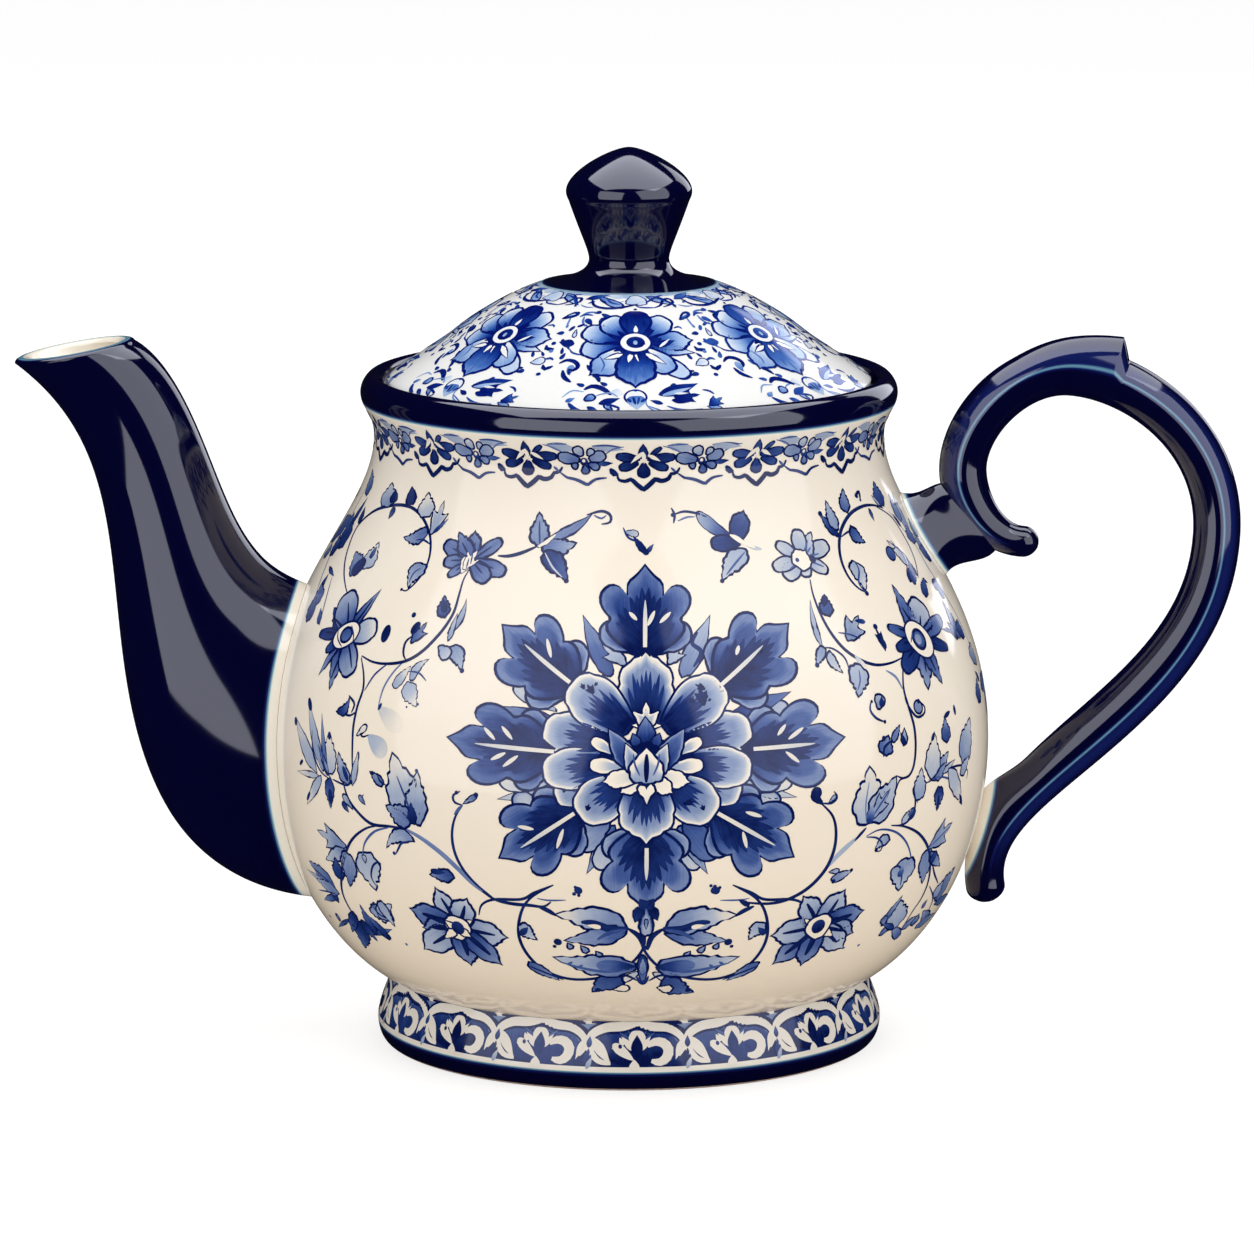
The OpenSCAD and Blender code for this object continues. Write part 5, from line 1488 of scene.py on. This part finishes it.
LID_STEMS = [
    *rays((5, 80, 100, 13, 36),
          (-32, -1, -33, 2), (-28, 9, -31, 13), (21, 17, 23, 20), (29, 11, 31, 14),
          (29, -2, 29, 0), (-22, -13, -21, -9), (-19, 15, -20, 19), (18, 19, 21, 22)),
    (6, 35, 60, 11, -44, -1, -31), (6, 35, 60, 1, -29, -4, -26), (6, 35, 60, 21, -29, 4, -27),
    (6, 30, 60, -55, -1, 10, -21, -3, -19),
    (1, 55, 97, -231, 144, 22, 9, 17, 18, 23, 4, 6, -13, -18, -10, -22, -6),
    (1, 50, 90, -254, 163, 21, 10, 21, 11, 31, 8), (1, 30, 35, -58, 146, 21, 16, 21, 7),
    (1, 30, 30, 18, 152, 35, 7, 6, 23), (2, 45, 85, 69, 182, 36, -6, 27, -18, 12, -15),
    (2, 60, 97, 180, 175, 21, -25, 42, -8, 46, 5, 47, 11), (2, 40, 80, 228, 183, 21, -20, 31, -7),
    (1, 40, 80, 328, 153, 14, -7, 46, -2), (1, 30, 50, 155, 151, 21, -7, 24, 0),
    (0, 130, 20, -297, 187, 174, 9, 146, 0, 157, 0, 182, -16),
    (1, 45, 80, -132, 111, 15, 8, 20, -2), (1, 80, 97, -60, 112, -9, -5, -1, -13, 6, -9),
    (1, 35, 85, -120, 17, 9, -10, 20, -5),
    (1, 75, 97, -129, -23, 12, 10, 16, -3, 9, -12, -6, -12, -10, 3),
    (1, 35, 45, 152, 110, 2, -17, 2, -18), (1, 45, 55, 177, 110, 14, 15, 27, 3),
    (1, 40, 50, 188, 113, 3, -18, 11, -12), (1, 50, 80, 146, -15, 11, 5, 7, -5),
    (1, 40, 80, 81, -62, 11, -3, 11, 4), (1, 40, 80, 106, 77, 13, 4, 6, -7),
    (1, 80, 95, -101, 60, 13, -8, 14, 0), (1, 80, 95, -117, -41, 7, -19, 15, -14),
    (1, 80, 95, -62, -53, 9, -4, 5, -14), (1, 80, 95, 134, 23, 5, -10, 16, 1),
    (1, 80, 95, 91, -35, 8, -9, 15, 2), (1, 80, 95, 149, -29, 6, -12, 14, 10),
    (1, 100, 97, -70, -94, 12, 11, 17, -7, 14, -17), (1, 80, 85, -88, -133, 11, -15, 12, -5),
    (1, 45, 90, -38, -129, 11, -6, 13, -9, -7, -10), (1, 30, 35, -100, -118, 12, 20, 19, -2),
    (1, 30, 40, -53, -114, 10, 8, 16, 4, 10, -11), (3, 50, 90, 6, -113, 3, -21),
    (3, 40, 80, 15, -113, -3, -21), (3, 60, 80, -3, -117, 6, -11), (3, 60, 80, 24, -118, -7, -10),
    (1, 50, 75, 54, -139, 14, -9, 17, -4, 19, 3), (1, 45, 85, 114, -97, 10, -4, 6, -10),
    (1, 30, 40, 25, -121, 0, -14, 9, -14, 24, -11), (1, 55, 85, -96, -158, 23, -2, 26, 1, 26, -1),
    (1, 30, 40, -17, -160, 25, 0, 26, -1),
]
LID_DOTS = [
    (3, 18, 139, 7, 95), (1, 148, 29, 10, 90), (1, 151, 8, 9, 50), (1, 150, -56, 10, 90),
]


def paint_medallion(art):
    """Peony medallion: pale leaves behind, eight oak leaves, three rounds of petals."""
    for fp, fs, tp, ts, wide, dark, pale in OAK_LEAVES / np.array([10] * 4 + [100] * 3):
        foot, tip = (fp, fs), (tp, ts)
        size, place = art.frame(foot, tip)
        unit = size * wide / 0.5
        art.leaf(2, foot, tip, "oak", wide, (dark, pale + 0.06), pale - 0.16, 0.3, 0.6,
                 hold=0.14, fade=0.66)
        for side in (-1, 1):
            art.leaf(1, place(0, 0.04 * size), place(side * 0.47 * unit, 0.33 * size), "drop",
                     0.3, (dark, pale - 0.06), pale - 0.3, 0.4, 0.55)
            for x, y, far in OAK_STREAKS:
                x *= side * wide / 0.5
                art.vein(3, foot, tip, [(0, y), (x * 0.55, (y + far) / 2 + 0.02), (x, far)],
                         (2.3, 1.6, 0.1), (1, 0.88))
    for fp, fs, tp, ts in np.array(WHITE_RIBS) / 10:
        art.stem(4, [(fp, fs), (tp, ts)], (0.7, 0.8, 0.1), (0.04, 0.1))
    for fp, fs, tp, ts in np.array(WHITE_DASHES) / 10:
        art.stem(4, [(fp, fs), (tp, ts)], (0.2, 0.8, 0.2), (0.05, 0.05))
    for layer, kind, fp, fs, tp, ts, wide in PEONY_PETALS:
        foot, tip, wide = (fp / 10, fs / 10), (tp / 10, ts / 10), wide / 100
        art.leaf(layer, foot, tip, kind, wide, (0.95, 0.34), 0.0, 0.3, 0.45, fade=0.7)
        # nine brush marks up the petal, longer and shorter by turns
        for k in range(-4, 5):
            x = k / 4.6 * wide
            far = 0.7 - 0.035 * abs(k) + 0.06 * (k % 2) - 0.04 * (k % 3)
            art.vein(layer + 1, foot, tip, [(x * .25, .06), (x * .5, far * .6), (x * .7, far)],
                     (1.2, 0.95, 0.08), (1, 0.8))
    art.table(MEDALLION_LEAVES, MEDALLION_STEMS, MEDALLION_DOTS)


def paint_sprays(art):
    """Sprays at both sides of the medallion, and the star flowers and loops below it."""
    art.table(LEFT_LEAVES, LEFT_STEMS, LEFT_DOTS)
    art.table(RIGHT_LEAVES, RIGHT_STEMS, RIGHT_DOTS)
    art.table(LOWER_LEAVES, LOWER_STEMS, LOWER_DOTS)


def paint_neck(art, count=28):
    """Dark blossoms hung round the neck, each with a small pale one beside it."""
    step = TAU * art.ground.r0 / count
    for k in range(0, count // 2, 2):
        here = NECK_MIDDLE + k * step
        art.table(NECK_LEAVES, NECK_STEMS, (), here, (1, 0.8, 0.9)[k // 2 % 3])
        art.table(PALE_LEAVES, PALE_STEMS, (), here + step, (1, 0.8)[k // 2 % 2])


def paint_foot(art, count=16):
    """Arches with a palmette and scrolls on a blue band, every other one lighter."""
    step = TAU * art.ground.r0 / count
    art.band(0, (0, count // 2 * step), (1.0, 5.8), (0.92, 0.86))
    art.band(0, (0, count // 2 * step), (5.8, 9.2), (0.5, 0.36))
    for k in range(count // 2):
        art.table(FOOT_LEAVES, FOOT_STEMS, (), k * step, (1.0, 0.86)[k % 2])


def paint_lid(art, count=7):
    """Flowers round the dome with loose touches between and a scroll border below."""
    for k in range(count):
        art.table(LID_LEAVES, LID_STEMS, LID_DOTS, k * TAU * art.ground.r0 / count,
                  (1.0, 0.78, 0.9)[k % 3])


# ---- the teapot -----------------------------------------------------------------------

shells = glaze_shells()
bore(shells["lid_dome"], (0, VENT_Y), VENT_R, LID_Z - 1, CROWN_Z + 1)
spout, spout_rows, spout_cols = spout_piece()
bow, lug = handle_pieces()

# the third colour is painted shade, which the ground turns to towards the foot
porcelain = painted_porcelain("porcelain_cream_underglaze", ["#F4E8D7", "#F7EDDE"],
                              "#F3E1C8", SLATE)
foot_porcelain = painted_porcelain("porcelain_foot_underglaze", ["#EEE6DA", "#F2EBE0"],
                                   "#EEE6DA", SLATE)
white_porcelain = painted_porcelain("porcelain_lid_underglaze", ["#F1F1F0", "#F5F5F4"],
                                    "#F1F1F0", BRIGHT)
cobalt = cobalt_glaze()
biscuit = bare_biscuit()

for key, mat, slot in (("pot_body", porcelain, "porcelain"),
                       ("foot_ring", foot_porcelain, "porcelain"),
                       ("rim_collar", cobalt, "cobalt_glaze"),
                       ("lid_dome", white_porcelain, "porcelain"),
                       ("lid_knob", cobalt, "cobalt_glaze")):
    shells[key].data.materials.append(mat)
for ob in (spout, bow, lug):
    ob.data.materials.append(cobalt)
for name in ("spout_strainer", "lid_flange"):
    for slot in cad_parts[name].material_slots:
        slot.material = porcelain


def fillet(p):
    """Cream fillet about 1.5 mm wide where a fitting leaves the belly, then full glaze."""
    out = np.hypot(p[:, 0], p[:, 1]) - pot_r(p[:, 2])
    return (2.9 - out) / 1.4


def spout_glaze(p):
    """Cobalt outside up to the lip, a pale line where it runs thin on it, cream inside."""
    row = np.arange(len(p)) // spout_cols
    # the lip's seven rings follow the outer loft's: two cobalt, two thin, then cream
    inside = np.where(row > spout_rows + 3, 1.0, np.where(row > spout_rows + 1, 0.55, 0.0))
    return np.maximum(fillet(p), inside)


def rim_glaze(p):
    """The cobalt stops 3 mm above the neck and runs thin over its last millimetre."""
    face = np.hypot(p[:, 0], p[:, 1]) > JOINT_R - 1
    return np.where(face, (RIM_PAINT + 1.0 - p[:, 2]) / 1.2, 0)


def bow_glaze_and_highlight(p):
    """Painted highlight in the glaze's colour: a fine pale line along each side of the bow, bluer
    outside it.
    """
    across = np.cos(np.arange(len(p)) % BOW_COLS * TAU / BOW_COLS)
    along = np.arange(len(p)) / len(p)
    ends = soft(along, 0.02, 0.1) * soft(along, 0.99, 0.9)
    # painted highlight: a pale streak along each side, and a lighter blue over the outer side
    painted_highlight_line = 0.52 * np.exp(-((across - 0.26) / 0.075) ** 2)
    blue = 0.26 * soft(across, 0.2, 0.5) * soft(across, 1.0, 0.55)
    root = np.where(p[:, 2] < 90, fillet(p), 0)
    return np.maximum(root, ends * (painted_highlight_line + blue))


thin_glaze(spout, spout_glaze)
thin_glaze(bow, bow_glaze_and_highlight)
thin_glaze(lug, lambda p: fillet(p) - 0.9)
thin_glaze(shells["rim_collar"], rim_glaze)
thin_glaze(shells["lid_knob"], lambda p: (np.hypot(p[:, 0], p[:, 1]) - SKIRT_R + 0.9) / 1.2)
thin_glaze(shells["foot_ring"], lambda p: (p[:, 2] - (BAND_Z - 0.8)) / 1.2)
glaze_bands(shells["foot_ring"], (foot_porcelain, cobalt, biscuit), (BAND_Z, WIPED_Z))
glaze_bands(shells["rim_collar"], (cobalt, porcelain), (RIM_PAINT,))

neck_rows = rim_line[rim_line[:, 1] < RIM_PAINT + 0.4]
pot_ground = Ground(line(belly_line, neck_rows), BELLY_Z, BELLY_R, "pot")
foot_ground = Ground(foot_line, BAND_Z, FOOT_R, "pot")
dome_ground = Ground(dome_line[::-1], EAVE[1], EAVE[0], "lid")
BOTH_SIDES = (0, np.pi)  # what is painted on the front is painted on the back, half a turn on
for ground, name, base, paint, mat, turns in (
        (pot_ground, "medallion", 0.03, paint_medallion, porcelain, BOTH_SIDES),
        (pot_ground, "spray", 0.02, paint_sprays, porcelain, BOTH_SIDES),
        (pot_ground, "neck_border", 0.03, paint_neck, porcelain, BOTH_SIDES),
        (foot_ground, "foot_border", 0.03, paint_foot, foot_porcelain, BOTH_SIDES),
        (dome_ground, "lid_border", 0.03, paint_lid, white_porcelain, (0,))):
    art = Brush(ground, name, base)
    paint(art)
    art.finish(mat, turns)

dark = [spout, bow, lug, shells["rim_collar"], shells["lid_knob"]]
studio(dark, [ob for ob in bpy.context.scene.objects
              if ob.type == "MESH" and ob not in dark and ob.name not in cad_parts])
